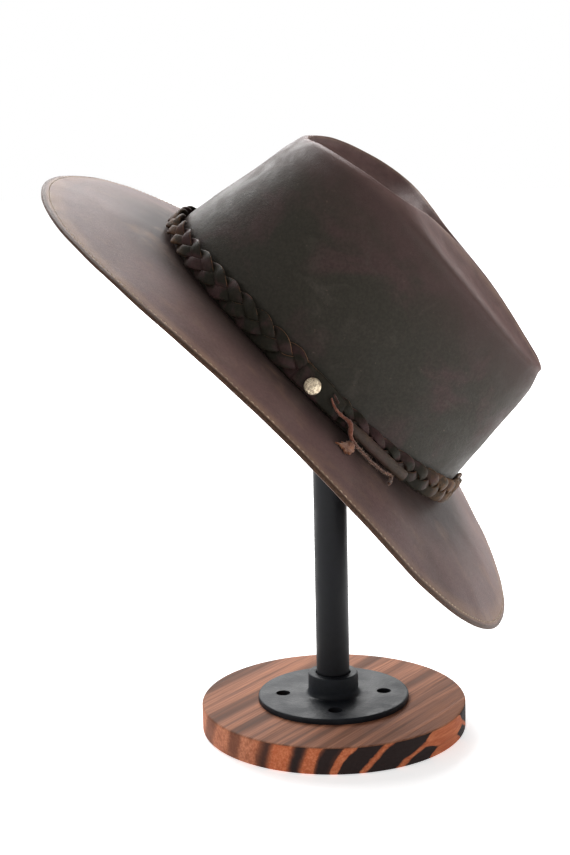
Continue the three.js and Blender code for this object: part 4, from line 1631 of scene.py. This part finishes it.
@dataclass
class Band:
    """The braided band with its tab, rivet, slit and rolled tail.

    Angles are in degrees. Heights are above the wall's foot, and outs are from the wall.
    """

    form: HatForm
    crisp: float = 50.0
    height: float = 7.8
    period: float = 37.5
    swing: float = 4.3
    lift: float = 1.6
    strands: int = 3
    strand_sides: int = 20
    strand_fullness: float = 4.6
    half_width: float = 3.3
    half_thickness: float = 0.85
    hollow: float = 0.3
    width_wave: Wave = Wave(0.12, 9.0)
    width_seeds: float = 11.0
    cockle: Wave = Wave(0.2, 5.0, 3.0)
    narrowing: float = 1.3
    steps_per_period: int = 36
    phase: float = -48.0
    centre_out: float = 3.25
    tuck_in: float = 2.0
    tuck_length: float = 2.5
    tuck_least: float = 0.6
    course: Table = Table(
        ("angle", "height", "spread", "lift"),
        (
            (-80, 7.0, 0.84, 1.25), (-68, 6.2, 0.76, 1.35), (-58, 6.3, 0.78, 1.35),
            (-48, 6.8, 0.85, 1.2), (-35, 7.5, 0.96, 1.0), (-20, 7.8, 1, 1.0), (120, 7.8, 1, 1.0),
            (160, 6.8, 0.87, 1.1), (200, 6.8, 0.87, 1.1), (225, 7.5, 0.96, 1.0), (240, 7.8, 1, 1.0),
            (270, 7.8, 1, 1.0),
        ),
    )
    tab_from: float = -94.0
    tab_to: float = -78.5
    tab_low: float = 0.6
    tab_high: float = 13.2
    tab_thickness: float = 5.9
    tab_steps: int = 40
    tab_sides: int = 32
    tab_flatness: float = 0.28
    tab_squareness: float = 0.42
    tab_end_steps: float = 3.0
    tab_end_curve: float = 2.5
    tab_end_width: float = 0.93
    tab_end_depth: float = 0.62
    tab_edge_fall: float = 0.14
    tab_slope: float = 5.5
    tab_slope_from: float = 0.45
    tab_slope_curve: float = 1.5
    tab_overhang: float = 1.2
    dish_depth: float = 0.5
    dish_middle: float = 0.62
    dish_reach: float = 0.1
    slit_angle: float = -81.5
    slit_half_angle: float = 1.25
    slit_height: float = 9.2
    slit_slope: float = -0.8
    slit_half_width: float = 0.14
    slit_proud: float = 0.05
    slit_steps: int = 48
    lip_radius: float = 0.5
    lip_sides: int = 8
    lip_wave: Wave = Wave(0.16, 1.6, 4.4)
    rivet_angle: float = -88.4
    rivet_height: float = 5.7
    rivet_radius: float = 4.5
    rivet_dome: float = 1.7
    rivet_sides: int = 64
    rivet_edge: tuple[tuple[float, float], ...] = (
        (0.3, -0.3), (0.97, -0.3), (1.0, 0.0), (1.0, 0.28), (0.985, 0.42), (0.95, 0.56), (0.9, 0.64),
    )
    rivet_dome_rings: int = 12
    hammered_above: float = 0.5
    hammer_marks: tuple[Wave, ...] = (Wave(0.2, 1.5, 1.7), Wave(0.05, 0.6, 6.0))
    tail_from: float = -73.2
    tail_to: float = -50.0
    tail_tuck: float = 1.5
    tail_high: float = 4.0
    tail_low: float = 2.6
    tail_half_width: float = 3.0
    tail_half_thickness: float = 1.9
    tail_out: float = 8.4
    tail_steps: int = 60
    tail_sides: int = 24
    tail_fullness: float = 2.3
    tail_root: float = 0.8
    tail_root_share: float = 0.2
    tail_wave: Wave = Wave(0.05, 6.0, 2.0)
    tail_ends: tuple[float, float] = (0.6, 0.93)

    def strip(self, angle: Array, height: Array, out: Array, outline: Array) -> Shell:
        """Sweeps a strip along a line beside the wall.

        Args:
            angle: Its angles, in radians.
            height: Its heights.
            out: Its outs.
            outline: Its cross-sections, array (steps, sides, 2).

        Returns:
            The shell.
        """
        form = self.form
        centres = form.beside(angle, height, out)
        along = unit(np.gradient(centres, axis=0))
        across = unit(np.cross(form.outward(angle, height), along))
        thick = unit(np.cross(along, across))
        return swept(form.placed(centres), form.placed_ways(across), form.placed_ways(thick), outline * MM)

    def strand(self, number: int, leather: Material) -> None:
        """Makes one strand of the braid.

        Args:
            number: 0, 1 or 2.
            leather: Its finish.
        """
        start, end = self.tab_to - self.tuck_in, self.tab_from + 360.0 + self.tuck_in
        total = self.form.line_length(start, end, self.height, self.centre_out)
        periods = round(total / self.period)
        steps = periods * self.steps_per_period
        angle = self.form.even_angles(start, end, self.height, self.centre_out, steps)
        share = np.arange(steps + 1) / steps
        turn = FULL_TURN * (periods * share + number / self.strands) + math.radians(self.phase)
        spread = self.course.at("spread", np.degrees(angle))
        tuck = np.clip(np.minimum(share, 1 - share) * total / self.tuck_length, self.tuck_least, 1.0)
        height = self.course.at("height", np.degrees(angle)) + self.swing * np.sin(turn) * spread
        lift = self.lift * self.course.at("lift", np.degrees(angle))
        out = self.centre_out - lift * np.sin(2 * turn) * tuck
        centres = self.form.beside(angle, height, out)
        swell = 1 + self.width_wave.at(centres, self.width_seeds * number)
        width = self.half_width * swell * tuck * spread**self.narrowing
        thickness = np.full(steps + 1, self.half_thickness)
        outline = pillow(width, thickness, self.strand_sides, self.strand_fullness)
        outline[..., 1] -= self.hollow * (outline[..., 0] / self.half_width) ** 2
        outline[..., 1] += self.cockle.at(centres, number)[:, None] * (1 + outline[..., 0] / self.half_width)
        shell = self.strip(angle, height, out, outline)
        seat(shell.piece(f"braid_{number + 1}", leather), Slot.BAND, f"braid_strand_{number + 1}")

    def tab(self, leather: Material) -> None:
        """Makes the flat tab over the braid's joint.

        Args:
            leather: Its finish.
        """
        steps, sides = self.tab_steps, self.tab_sides
        angle = self.form.even_angles(self.tab_from, self.tab_to + self.tab_overhang, self.height, GAP, steps)
        share = np.arange(steps + 1) / steps
        from_end = np.minimum(share, 1 - share) * steps / self.tab_end_steps
        ends = 1 - np.clip(1 - from_end, 0.0, 1.0) ** self.tab_end_curve
        turn = full_circle(sides, 0.5)
        flat = boxed(np.cos(turn), self.tab_flatness)[None, :]
        deep = boxed(np.sin(turn), self.tab_squareness)[None, :]
        middle = (self.tab_low + self.tab_high) / 2
        half = (self.tab_high - self.tab_low) / 2
        heights = middle + half * flat * (self.tab_end_width + (1 - self.tab_end_width) * ends)[:, None]
        slope = self.tab_slope * np.clip(share - self.tab_slope_from, 0.0, 1.0) ** self.tab_slope_curve
        heights -= slope[:, None] * (1 + flat) / 2
        depth = self.tab_thickness / 2
        crown = 1.0 - self.tab_edge_fall * flat**2
        full = (self.tab_end_depth + (1 - self.tab_end_depth) * ends)[:, None]
        outs = GAP + depth + depth * deep * crown * full
        dish = self.dish_depth * bell(share, self.dish_middle, self.dish_reach)[:, None]
        dish = dish * np.clip(deep, 0, 1) * (1 - np.abs(flat))
        points = self.form.beside(angle[:, None], heights, outs - dish)
        faces, lay = tube_faces(steps + 1, sides), grid_lay(share, np.arange(sides) / sides)
        shell = Shell(self.form.placed(points.reshape(-1, 3)), faces, lay).facing_out()
        seat(shell.piece("band_tab", leather), Slot.BAND, "band_keeper")

    def slit(self, raw: Material) -> None:
        """Makes the raw lips of the slit that the lace comes out of.

        Args:
            raw: The cut leather's finish.
        """
        turn = full_circle(self.slit_steps)
        angle = np.radians(self.slit_angle + self.slit_half_angle * np.cos(turn))
        height = self.slit_height + self.slit_slope * np.cos(turn) + self.slit_half_width * np.sin(turn)
        centres = self.form.beside(angle, height, GAP + self.tab_thickness + self.slit_proud)
        along = unit(np.roll(centres, -1, axis=0) - np.roll(centres, 1, axis=0))
        outward = self.form.outward(angle, height)
        radius = self.lip_radius + self.lip_wave.at(centres)
        ring = around(unit(np.cross(outward, along)), outward, full_circle(self.lip_sides))
        points = (centres[:, None] + ring * radius[:, None, None]).reshape(-1, 3)
        faces = sheet_faces(self.slit_steps, self.lip_sides, True, True)
        shell = Shell(self.form.placed(points), faces).facing_out()
        seat(shell.piece("tab_slit_lips", raw), Slot.SUEDE)

    def rivet(self, metal: Material) -> None:
        """Makes the hammered rivet head.

        Args:
            metal: Its finish.
        """
        angle = np.array([math.radians(self.rivet_angle)])
        centre = self.form.beside(angle, self.rivet_height, GAP + self.tab_thickness + GAP)[0]
        outward = self.form.outward(angle, self.rivet_height)[0]
        side = unit(np.cross(outward, np.array([0.0, 0.0, 1.0])))
        rings, (edge_reach, edge_rise) = list(self.rivet_edge), self.rivet_edge[-1]
        for k in range(1, self.rivet_dome_rings):
            inward = 1 - k / self.rivet_dome_rings
            rings.append((edge_reach * inward, edge_rise + (1 - edge_rise) * (1 - inward**2)))
        flat = around(side, np.cross(outward, side), full_circle(self.rivet_sides))
        rows = []
        for reach, rise in rings:
            row = centre + flat * reach * self.rivet_radius + outward[None] * rise * self.rivet_dome
            if rise > self.hammered_above:
                row = row + outward[None] * sum(mark.at(row) for mark in self.hammer_marks)[:, None]
            rows.append(row)
        faces = tube_faces(len(rings), self.rivet_sides)
        shell = Shell(self.form.placed(np.concatenate(rows)), faces).facing_out()
        seat(shell.piece("rivet_head", metal, self.crisp), Slot.RIVET, "rivet")

    def tail(self, leather: Material) -> None:
        """Makes the strap's rolled tail with its cut end.

        Args:
            leather: Its finish.
        """
        steps, out = self.tail_steps, self.tail_out
        start = self.tail_from - self.tail_tuck
        angle = self.form.even_angles(start, self.tail_to, self.tail_high, out, steps)
        share = np.arange(steps + 1) / steps
        height = self.tail_high + (self.tail_low - self.tail_high) * share
        root = np.clip(share / self.tail_root_share, 0, 1)
        centres = self.form.beside(angle, height, out)
        swell = self.tail_root + (1 - self.tail_root) * root + self.tail_wave.at(centres)
        swell[0] *= self.tail_ends[0]
        swell[-1] *= self.tail_ends[1]
        width, thickness = self.tail_half_width * swell, self.tail_half_thickness * swell
        shell = self.strip(angle, height, out, pillow(width, thickness, self.tail_sides, self.tail_fullness))
        seat(shell.piece("band_tail", leather, self.crisp), Slot.BAND, "strap_tail")


# ---- the lace ----


@dataclass
class Lace:
    """The suede lace from the tab's slit, with its frayed end piece.

    The end piece is a stack of rings, each with its size and its rise above the brim.
    """

    form: HatForm
    diameter: float = 1.8
    steps: int = 9
    sides: int = 12
    fullness: float = 2.2
    wide: float = 1.06
    thick: float = 0.9
    girth: Table = Table(
        ("share", "girth"),
        ((0, 0.62), (0.06, 0.85), (0.2, 1.15), (0.34, 1.3), (0.42, 1.35), (0.5, 1.1), (0.6, 1.0), (1, 0.95)),
    )
    girth_wave: Wave = Wave(0.22, 0.0022, 1.0)
    surface_wave: Wave = Wave(0.16, 0.0009, 5.0)
    route: Table = Table(
        ("angle", "height", "out"),
        (
            (-82.7, 7.9, 7.5), (-81.4, 6.5, 7.5), (-80.0, 5.5, 7.5), (-78.6, 5.1, 7.5),
            (-77.2, 5.0, 7.9), (-75.9, 5.2, 8.7), (-74.8, 5.0, 9.8), (-74.0, 3.9, 11.2),
            (-73.3, 1.9, 12.1), (-72.4, 0.2, 12.4), (-71.3, -0.7, 12.4), (-69.9, -1.2, 12.3),
            (-67.4, -1.8, 12.1), (-64.8, -2.4, 12.1), (-62.6, -2.5, 12.1), (-60.1, -2.5, 11.9),
            (-57.6, -2.1, 11.9), (-56.5, -1.6, 11.9), (-55.7, -1.4, 12.1), (-55.3, -1.9, 12.8),
            (-55.4, -3.1, 14.4), (-56.1, -4.4, 17.0), (-56.9, -5.4, 19.4),
        ),
    )
    tag: Table = Table(
        ("angle", "out", "rise"),
        (
            (-72.3, 13.9, 3.1), (-73.8, 16.0, 1.3), (-77.3, 26.1, 0.3), (-75.7, 26.6, 0.3),
            (-74.9, 28.5, 0.3), (-73.0, 24.3, 0.3), (-71.1, 17.7, 0.6), (-71.4, 16.2, 2.3),
        ),
    )
    tag_steps: int = 12
    tag_rings: tuple[tuple[float, float], ...] = (
        (0.9, 0.0), (1.0, 0.3), (1.03, 0.6), (0.95, 1.0), (0.75, 1.25), (0.45, 1.15), (0.15, 1.3),
    )
    tag_frays: float = 0.5
    fray_step: float = 0.47
    fray_row: float = 2.0
    tag_wave: Wave = Wave(0.3, 1.3, 8.0)
    fibres: int = 280
    fibre_seed: int = 5
    fibre_span: tuple[float, float] = (0.44, 0.99)
    fibre_lengths: tuple[float, float] = (0.5, 1.3)
    fibre_radii: tuple[float, float] = (0.1, 0.04)
    fibre_root: float = 0.42
    fibre_bend: float = 0.5
    fibre_stops: int = 4

    def path(self) -> Array:
        """The lace's centre line.

        Returns:
            Points in the row frame, in metres.
        """
        angle = np.radians(self.route.column("angle"))
        points = self.form.beside(angle, self.route.column("height"), self.route.column("out"))
        return self.form.placed(through_points(points, self.steps))

    def girth_at(self, share: Array) -> Array:
        """The lace's girth at shares of its length, where 1 is its diameter's."""
        return np.interp(share, self.girth.column("share"), self.girth.column("girth"))

    def cord(self, suede: Material) -> Piece:
        """Makes the lace itself.

        Args:
            suede: Its finish.

        Returns:
            The piece, which stands for the CAD lace.
        """
        path = self.path()
        along = unit(np.gradient(path, axis=0))
        across = unit(np.cross(along, np.array([0.0, 0.0, 1.0])))
        girth = self.girth_at(np.linspace(0.0, 1.0, len(path)))
        radius = 0.5 * self.diameter * MM * girth * (1.0 + self.girth_wave.at(path))
        outline = pillow(radius * self.wide, radius * self.thick, self.sides, self.fullness)
        outline *= 1.0 + self.surface_wave.at(path[:, None] + outline @ np.eye(2, 3))[..., None]
        shell = swept(path, across, np.cross(along, across), outline)
        return seat(shell.piece("suede_lace", suede), Slot.SUEDE, "lace")

    def end_piece(self, suede: Material, brim: Brim) -> Piece:
        """Makes the flat frayed piece that leans from the lace down to the brim.

        Args:
            suede: Its finish.
            brim: The brim that it lies on.

        Returns:
            The piece, which stands for the CAD tag.
        """
        columns = [np.radians(self.tag.column("angle")), self.tag.column("out"), self.tag.column("rise")]
        corners = np.stack(columns, axis=-1)
        following = np.roll(corners, -1, axis=0)
        shares = np.arange(self.tag_steps)[None, :, None] / self.tag_steps
        outline = (corners[:, None] + (following - corners)[:, None] * shares).reshape(-1, 3)
        middle, count = outline.mean(axis=0), len(outline)
        places = [Vector((k * self.fray_step, 0.0, self.fray_row)) for k in range(count)]
        spikes = np.array([noise.noise(place) for place in places])
        ragged = 1.0 + self.tag_frays * spikes * np.array([1.0, 1.0, 0.0])[:, None]
        rows = []
        for share, lift in self.tag_rings:
            ring = middle + (outline - middle) * share * ragged.T
            points = self.form.brim_top(ring[:, 0], ring[:, 1] / self.form.brim_width(ring[:, 0]))
            near_brim = np.clip(1.5 - 0.5 * ring[:, 2], 0.0, 1.0)
            points[:, 2] += ring[:, 2] + lift + brim.ripple(points) * near_brim + self.tag_wave.at(points)
            rows.append(points)
        faces = tube_faces(len(rows), count)
        shell = Shell(self.form.placed(np.concatenate(rows)), faces).facing_out()
        return seat(shell.piece("lace_end_piece", suede), Slot.SUEDE, "lace_tag")

    def fuzz(self, suede: Material) -> Piece:
        """Makes the short loose fibres along the lace.

        Args:
            suede: Their finish.

        Returns:
            One joined piece.
        """
        draw = np.random.default_rng(self.fibre_seed)
        path = self.path()
        last = len(path) - 1
        spots = draw.uniform(*self.fibre_span, self.fibres) * last
        girth = self.girth_at(spots / last)
        roots = np.stack([np.interp(spots, np.arange(last + 1), path[:, k]) for k in range(3)], axis=-1)
        ways = unit(draw.normal(size=(self.fibres, 3)))
        bends = unit(draw.normal(size=(self.fibres, 3)))
        lengths = draw.uniform(*self.fibre_lengths, self.fibres) * MM
        stops = np.linspace(0.0, 1.0, self.fibre_stops)[:, None]
        radii = np.linspace(*self.fibre_radii, self.fibre_stops) * MM
        fibres = []
        for root, way, bend, length, wide in zip(roots, ways, bends, lengths, girth):
            start = root + way * self.fibre_root * wide * self.diameter * MM
            line = start + way * length * stops + bend * self.fibre_bend * length * stops**2
            along = unit(np.gradient(line, axis=0))
            across = unit(np.cross(along, bend + np.array([0.01, 0.02, 0.03])))
            fibres.append(swept(line, across, np.cross(along, across), pillow(radii, radii, 3, 2.0)))
        return seat(Shell.together(fibres).piece("lace_fuzz", suede), Slot.SUEDE)

    def build(self, suede: Material, frayed: Material, fluff: Material, brim: Brim) -> None:
        """Args:
            suede: The lace's finish.
            frayed: The end piece's finish.
            fluff: The loose fibres' finish.
            brim: The brim that it lies on.
        """
        lace = self.cord(suede)
        end = self.end_piece(frayed, brim)
        loose = self.fuzz(fluff)
        path = self.path()


# ---- the stand ----


@dataclass
class Stand:
    """The turned wooden base, the floor flange and the pipe.

    The flange's roundings run from its foot over its rim, its hub's root and its hub to its bore.
    """

    sides: int = 160
    crisp: float = 40.0
    base_roundings: tuple[float, float] = (0.84, 1.4)
    base_steps: int = 5
    flange_thickness: float = 3.3
    flange_crisp: float = 35.0
    flange_roundings: tuple[float, ...] = (0.4, 1.3, 3.0, 1.2, 0.96)
    hub_radius: float = 14.6
    bore_depth: float = 2.0
    flange_steps: int = 6
    screw_circle: float = 29.5
    screw_holes: int = 4
    screw_hole_radius: float = 4.2
    screw_hole_sides: int = 40
    pipe_sides: int = 96
    pipe_roundings: tuple[float, float] = (0.5, 3.0)
    pipe_steps: int = 8

    def block(self, node: str, roundings: tuple[float, float], steps: int, sides: int) -> Shell:
        """A round block of the size and place of a CAD node.

        Args:
            node: The node.
            roundings: Those of its lower and its upper edge.
            steps: Pieces in each rounding.
            sides: Points round it.

        Returns:
            The shell.
        """
        low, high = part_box(node)
        radius = (high[0] - low[0]) / 2
        lower, upper = ((radius, z, r * MM) for z, r in zip((low[2], high[2]), roundings))
        return turned(rounded_outline([(0, low[2], 0), lower, upper, (0, high[2], 0)], steps), sides)

    def base(self, wood: Material) -> None:
        """Makes the wooden disc, which stands for the CAD base."""
        shell = self.block("wood_base", self.base_roundings, self.base_steps, self.sides)
        seat(shell.piece("pine_base", wood, self.crisp), Slot.WOOD, "wood_base")

    def pipe(self, iron: Material) -> None:
        """Makes the pipe with its closed, rounded top, which stands for the CAD pipe."""
        shell = self.block("pipe", self.pipe_roundings, self.pipe_steps, self.pipe_sides)
        seat(shell.piece("stand_pipe", iron, self.crisp), Slot.IRON, "pipe")

    def flange(self, iron: Material) -> None:
        """Makes the cast floor flange with its screw holes.

        Args:
            iron: Its finish.
        """
        low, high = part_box("floor_flange")
        pipe_low, pipe_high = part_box("pipe")
        radius = (high[0] - low[0]) / 2
        bore = (pipe_high[0] - pipe_low[0]) / 2 + GAP * MM
        t, hub = self.flange_thickness * MM, self.hub_radius * MM
        floor, top = low[2], high[2]
        foot, rim, fillet, hub_edge, bore_edge = (r * MM for r in self.flange_roundings)
        corners = [(bore, floor, 0), (radius, floor, foot)]
        corners += [(radius, floor + t, rim), (hub, floor + t, fillet)]
        corners += [(hub, top, hub_edge), (bore, top, bore_edge), (bore, top - self.bore_depth * MM, 0)]
        shell = turned(rounded_outline(corners, self.flange_steps), self.sides)
        item = shell.piece("cast_flange", iron)
        drills = []
        for k, turn in enumerate(full_circle(self.screw_holes)):
            width = self.screw_hole_radius * MM
            drill = turned([(0, -2 * t), (width, -2 * t), (width, 2 * t), (0, 2 * t)], self.screw_hole_sides)
            centre = np.array([math.cos(turn), math.sin(turn), 0.0]) * self.screw_circle * MM
            drill.points = drill.points + centre + np.array([0.0, 0.0, floor + t / 2])
            drills.append(drill.piece(f"drill_{k}", iron))
        for drill in drills:
            hole = item.modifiers.new("screw_hole", "BOOLEAN")
            hole.operation, hole.object, hole.solver = "DIFFERENCE", drill, "EXACT"
        apply_modifiers(item)
        for drill in drills:
            bpy.data.objects.remove(drill, do_unlink=True)
        item.data.set_sharp_from_angle(angle=math.radians(self.flange_crisp))
        seat(item, Slot.IRON, "floor_flange")


# ---- the studio ----


@dataclass(frozen=True)
class SquareLight:
    """A soft square light: its name, its position, its side in metres and its power in watts."""

    name: str
    place: Triple
    side: float
    power: float

    def build(self, target: Triple) -> None:
        """Adds the light, hidden from the camera.

        Args:
            target: What it is turned to.
        """
        data = bpy.data.lights.new(self.name, "AREA")
        data.shape = "SQUARE"
        data.size = self.side
        data.energy = self.power
        lamp = bpy.data.objects.new(self.name, data)
        lamp.location = self.place
        lamp.rotation_euler = (Vector(target) - Vector(self.place)).to_track_quat("-Z", "Y").to_euler()
        lamp.visible_camera = False
        bpy.context.collection.objects.link(lamp)


@dataclass
class Studio:
    """A pale floor, soft light from above and the camera."""

    camera_place: Triple = (-0.02486, -0.899, 0.35442)
    camera_pitch: float = -11.136
    camera_roll: float = 1.317
    lens: float = 101.97
    sensor_width: float = 36.0
    white: Colour = (1.0, 1.0, 1.0)
    fill: float = 0.3
    floor_tone: Colour = (0.95, 0.95, 0.95)
    floor_roughness: float = 0.9
    floor_size: float = 12.0
    floor_drop: float = 0.0005
    floor_glow: Ramp = Ramp(0.12, 0.4, 0.6, 1.0)
    target: Triple = (0.0, 0.0, 0.2)
    lights: tuple[SquareLight, ...] = (
        SquareLight("top_light", (-0.4, 1.8, 1.9), 2.0, 80.0),
        SquareLight("left_light", (-1.6, -0.9, 0.9), 1.2, 7.5),
        SquareLight("back_light", (0.0, 2.6, 0.9), 3.2, 31.0),
    )

    def camera(self) -> None:
        """Places the scene's camera."""
        data = bpy.data.cameras.new("camera")
        data.lens = self.lens
        data.sensor_width = self.sensor_width
        data.sensor_fit = "HORIZONTAL"
        camera = bpy.data.objects.new("camera", data)
        pitch, roll = math.radians(self.camera_pitch), math.radians(self.camera_roll)
        ahead = Vector((0.0, math.cos(pitch), math.sin(pitch)))
        right = Vector((1.0, 0.0, 0.0))
        up = right.cross(ahead)
        side = right * math.cos(roll) - up * math.sin(roll)
        head = right * math.sin(roll) + up * math.cos(roll)
        turn = Matrix((side, head, -ahead)).transposed().to_4x4()
        camera.matrix_world = Matrix.Translation(Vector(self.camera_place)) @ turn
        bpy.context.collection.objects.link(camera)
        bpy.context.scene.camera = camera

    def floor(self) -> None:
        """Makes the pale floor, which glows less round the object so that its shadow shows."""
        bench = NodeBench(bpy.data.materials.new("pale_floor"))
        reach = bench.put("ShaderNodeVectorMath", {0: bench.where()}, operation="LENGTH").outputs["Value"]
        glow = bench.span(reach, self.floor_glow)
        material = bench.finish(self.floor_tone, self.floor_roughness, Specular_IOR_Level=0.0,
                                Emission_Color=self.white, Emission_Strength=glow)
        half = self.floor_size / 2
        points = np.array([(-half, -half, 0), (half, -half, 0), (half, half, 0), (-half, half, 0)], float)
        floor = Shell(points, [(0, 1, 2, 3)]).piece("studio_floor", material)
        floor.location.z = -self.floor_drop

    def world(self) -> None:
        """Makes the white surroundings, dimmer as a light than as a backdrop."""
        bench = NodeBench(bpy.data.worlds.new("studio"))
        seen = bench.put("ShaderNodeLightPath").outputs["Is Camera Ray"]
        level = bench.put("ShaderNodeMapRange", {"Value": seen, "To Min": self.fill, "To Max": 1.0})
        glow = bench.put("ShaderNodeBackground", {"Color": self.white, "Strength": level.outputs["Result"]})
        bench.put("ShaderNodeOutputWorld", {"Surface": glow.outputs["Background"]})
        bpy.context.scene.world = bench.owner
        bpy.context.scene.view_settings.view_transform = "Standard"

    def build(self) -> None:
        """Sets up the floor, the surroundings and the lights."""
        self.floor()
        self.world()
        for light in self.lights:
            light.build(self.target)


def build_hat(form: HatForm) -> None:
    """Builds the lace, the crown, the brim and the band.

    Args:
        form: The hat's form.
    """
    brim = Brim(form)
    suede = Suede("suede", (0.16, 0.05, 0.03), (0.33, 0.13, 0.085), faded=(0.1, 0.055, 0.04))
    frayed = Suede("frayed_suede", (0.19, 0.058, 0.026), (0.42, 0.19, 0.095))
    fluff = Suede("loose_fibres", (0.3, 0.17, 0.11), (0.62, 0.42, 0.3))
    Lace(form).build(suede.made(), frayed.made(), fluff.made(), brim)

    crown_leather = CrownLeather(
        "crown_leather", dark=(0.036, 0.0315, 0.023), hue=(0.06, 0.036, 0.033), pale=(0.072, 0.06, 0.05),
        rubbed=(0.29, 0.19, 0.14), hue_from=0.48, gloss=0.2, roughness=0.53, sheen=0.08,
    )
    Crown(form).build(crown_leather.made())
    brim_leather = BrimLeather(
        "brim_leather", dark=(0.14, 0.084, 0.075), hue=(0.165, 0.096, 0.089), pale=(0.185, 0.125, 0.108),
        rubbed=(0.26, 0.155, 0.102), patch=46.0, gloss=0.11, sheen=0.1, waviness=0.04, polish=0.02,
    )
    brim.build(brim_leather.made())
    brim.stitches(Thread("waxed_thread", (0.75, 0.57, 0.4)).made())

    strap = StrapLeather(
        "band_leather", dark=(0.022, 0.019, 0.012), hue=(0.062, 0.031, 0.03), pale=(0.05, 0.038, 0.026),
        rubbed=(0.27, 0.14, 0.074), patch=15.0, hue_from=0.44, gloss=0.16, roughness=0.58, sheen=0.03,
    )
    strap_leather = strap.made()
    band = Band(form)
    for number in range(band.strands):
        band.strand(number, strap_leather)
    band.tab(strap_leather)
    band.slit(Suede("raw_cut", (0.045, 0.02, 0.014), (0.085, 0.036, 0.026)).made())
    band.rivet(HammeredMetal("rivet_metal", (0.95, 0.8, 0.58), (0.42, 0.29, 0.19)).made())
    tail_leather = StrapLeather(
        "tail_leather", dark=(0.054, 0.034, 0.022), hue=(0.075, 0.042, 0.033), pale=(0.11, 0.068, 0.042),
        rubbed=(0.2, 0.11, 0.07), patch=14.0, gloss=0.25,
    )
    band.tail(tail_leather.made())


def build_stand() -> None:
    """Builds the wooden base, the flange and the pipe."""
    stand = Stand()
    pine = CharredPine(
        "charred_pine", pale=(0.52, 0.235, 0.14), brown=(0.3, 0.122, 0.068), streak=(0.09, 0.042, 0.027),
        warm=(0.42, 0.1, 0.038), glow=(0.6, 0.2, 0.09), char=(0.022, 0.013, 0.012),
    )
    stand.base(pine.made())
    stand.flange(BlackIron("cast_black_iron", (0.009, 0.011, 0.014), 2.2, 0.22, 0.43).made())
    stand.pipe(BlackIron("drawn_black_iron", (0.006, 0.0065, 0.008), 5.0, 0.1, 0.42).made())


def main() -> None:
    """Builds the whole scene, piece by piece."""
    logging.basicConfig(level=logging.INFO, format="%(name)s %(message)s")
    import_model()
    studio = Studio()
    studio.camera()
    build_hat(HatForm())
    build_stand()
    studio.build()


if __name__ == "__main__":
    main()
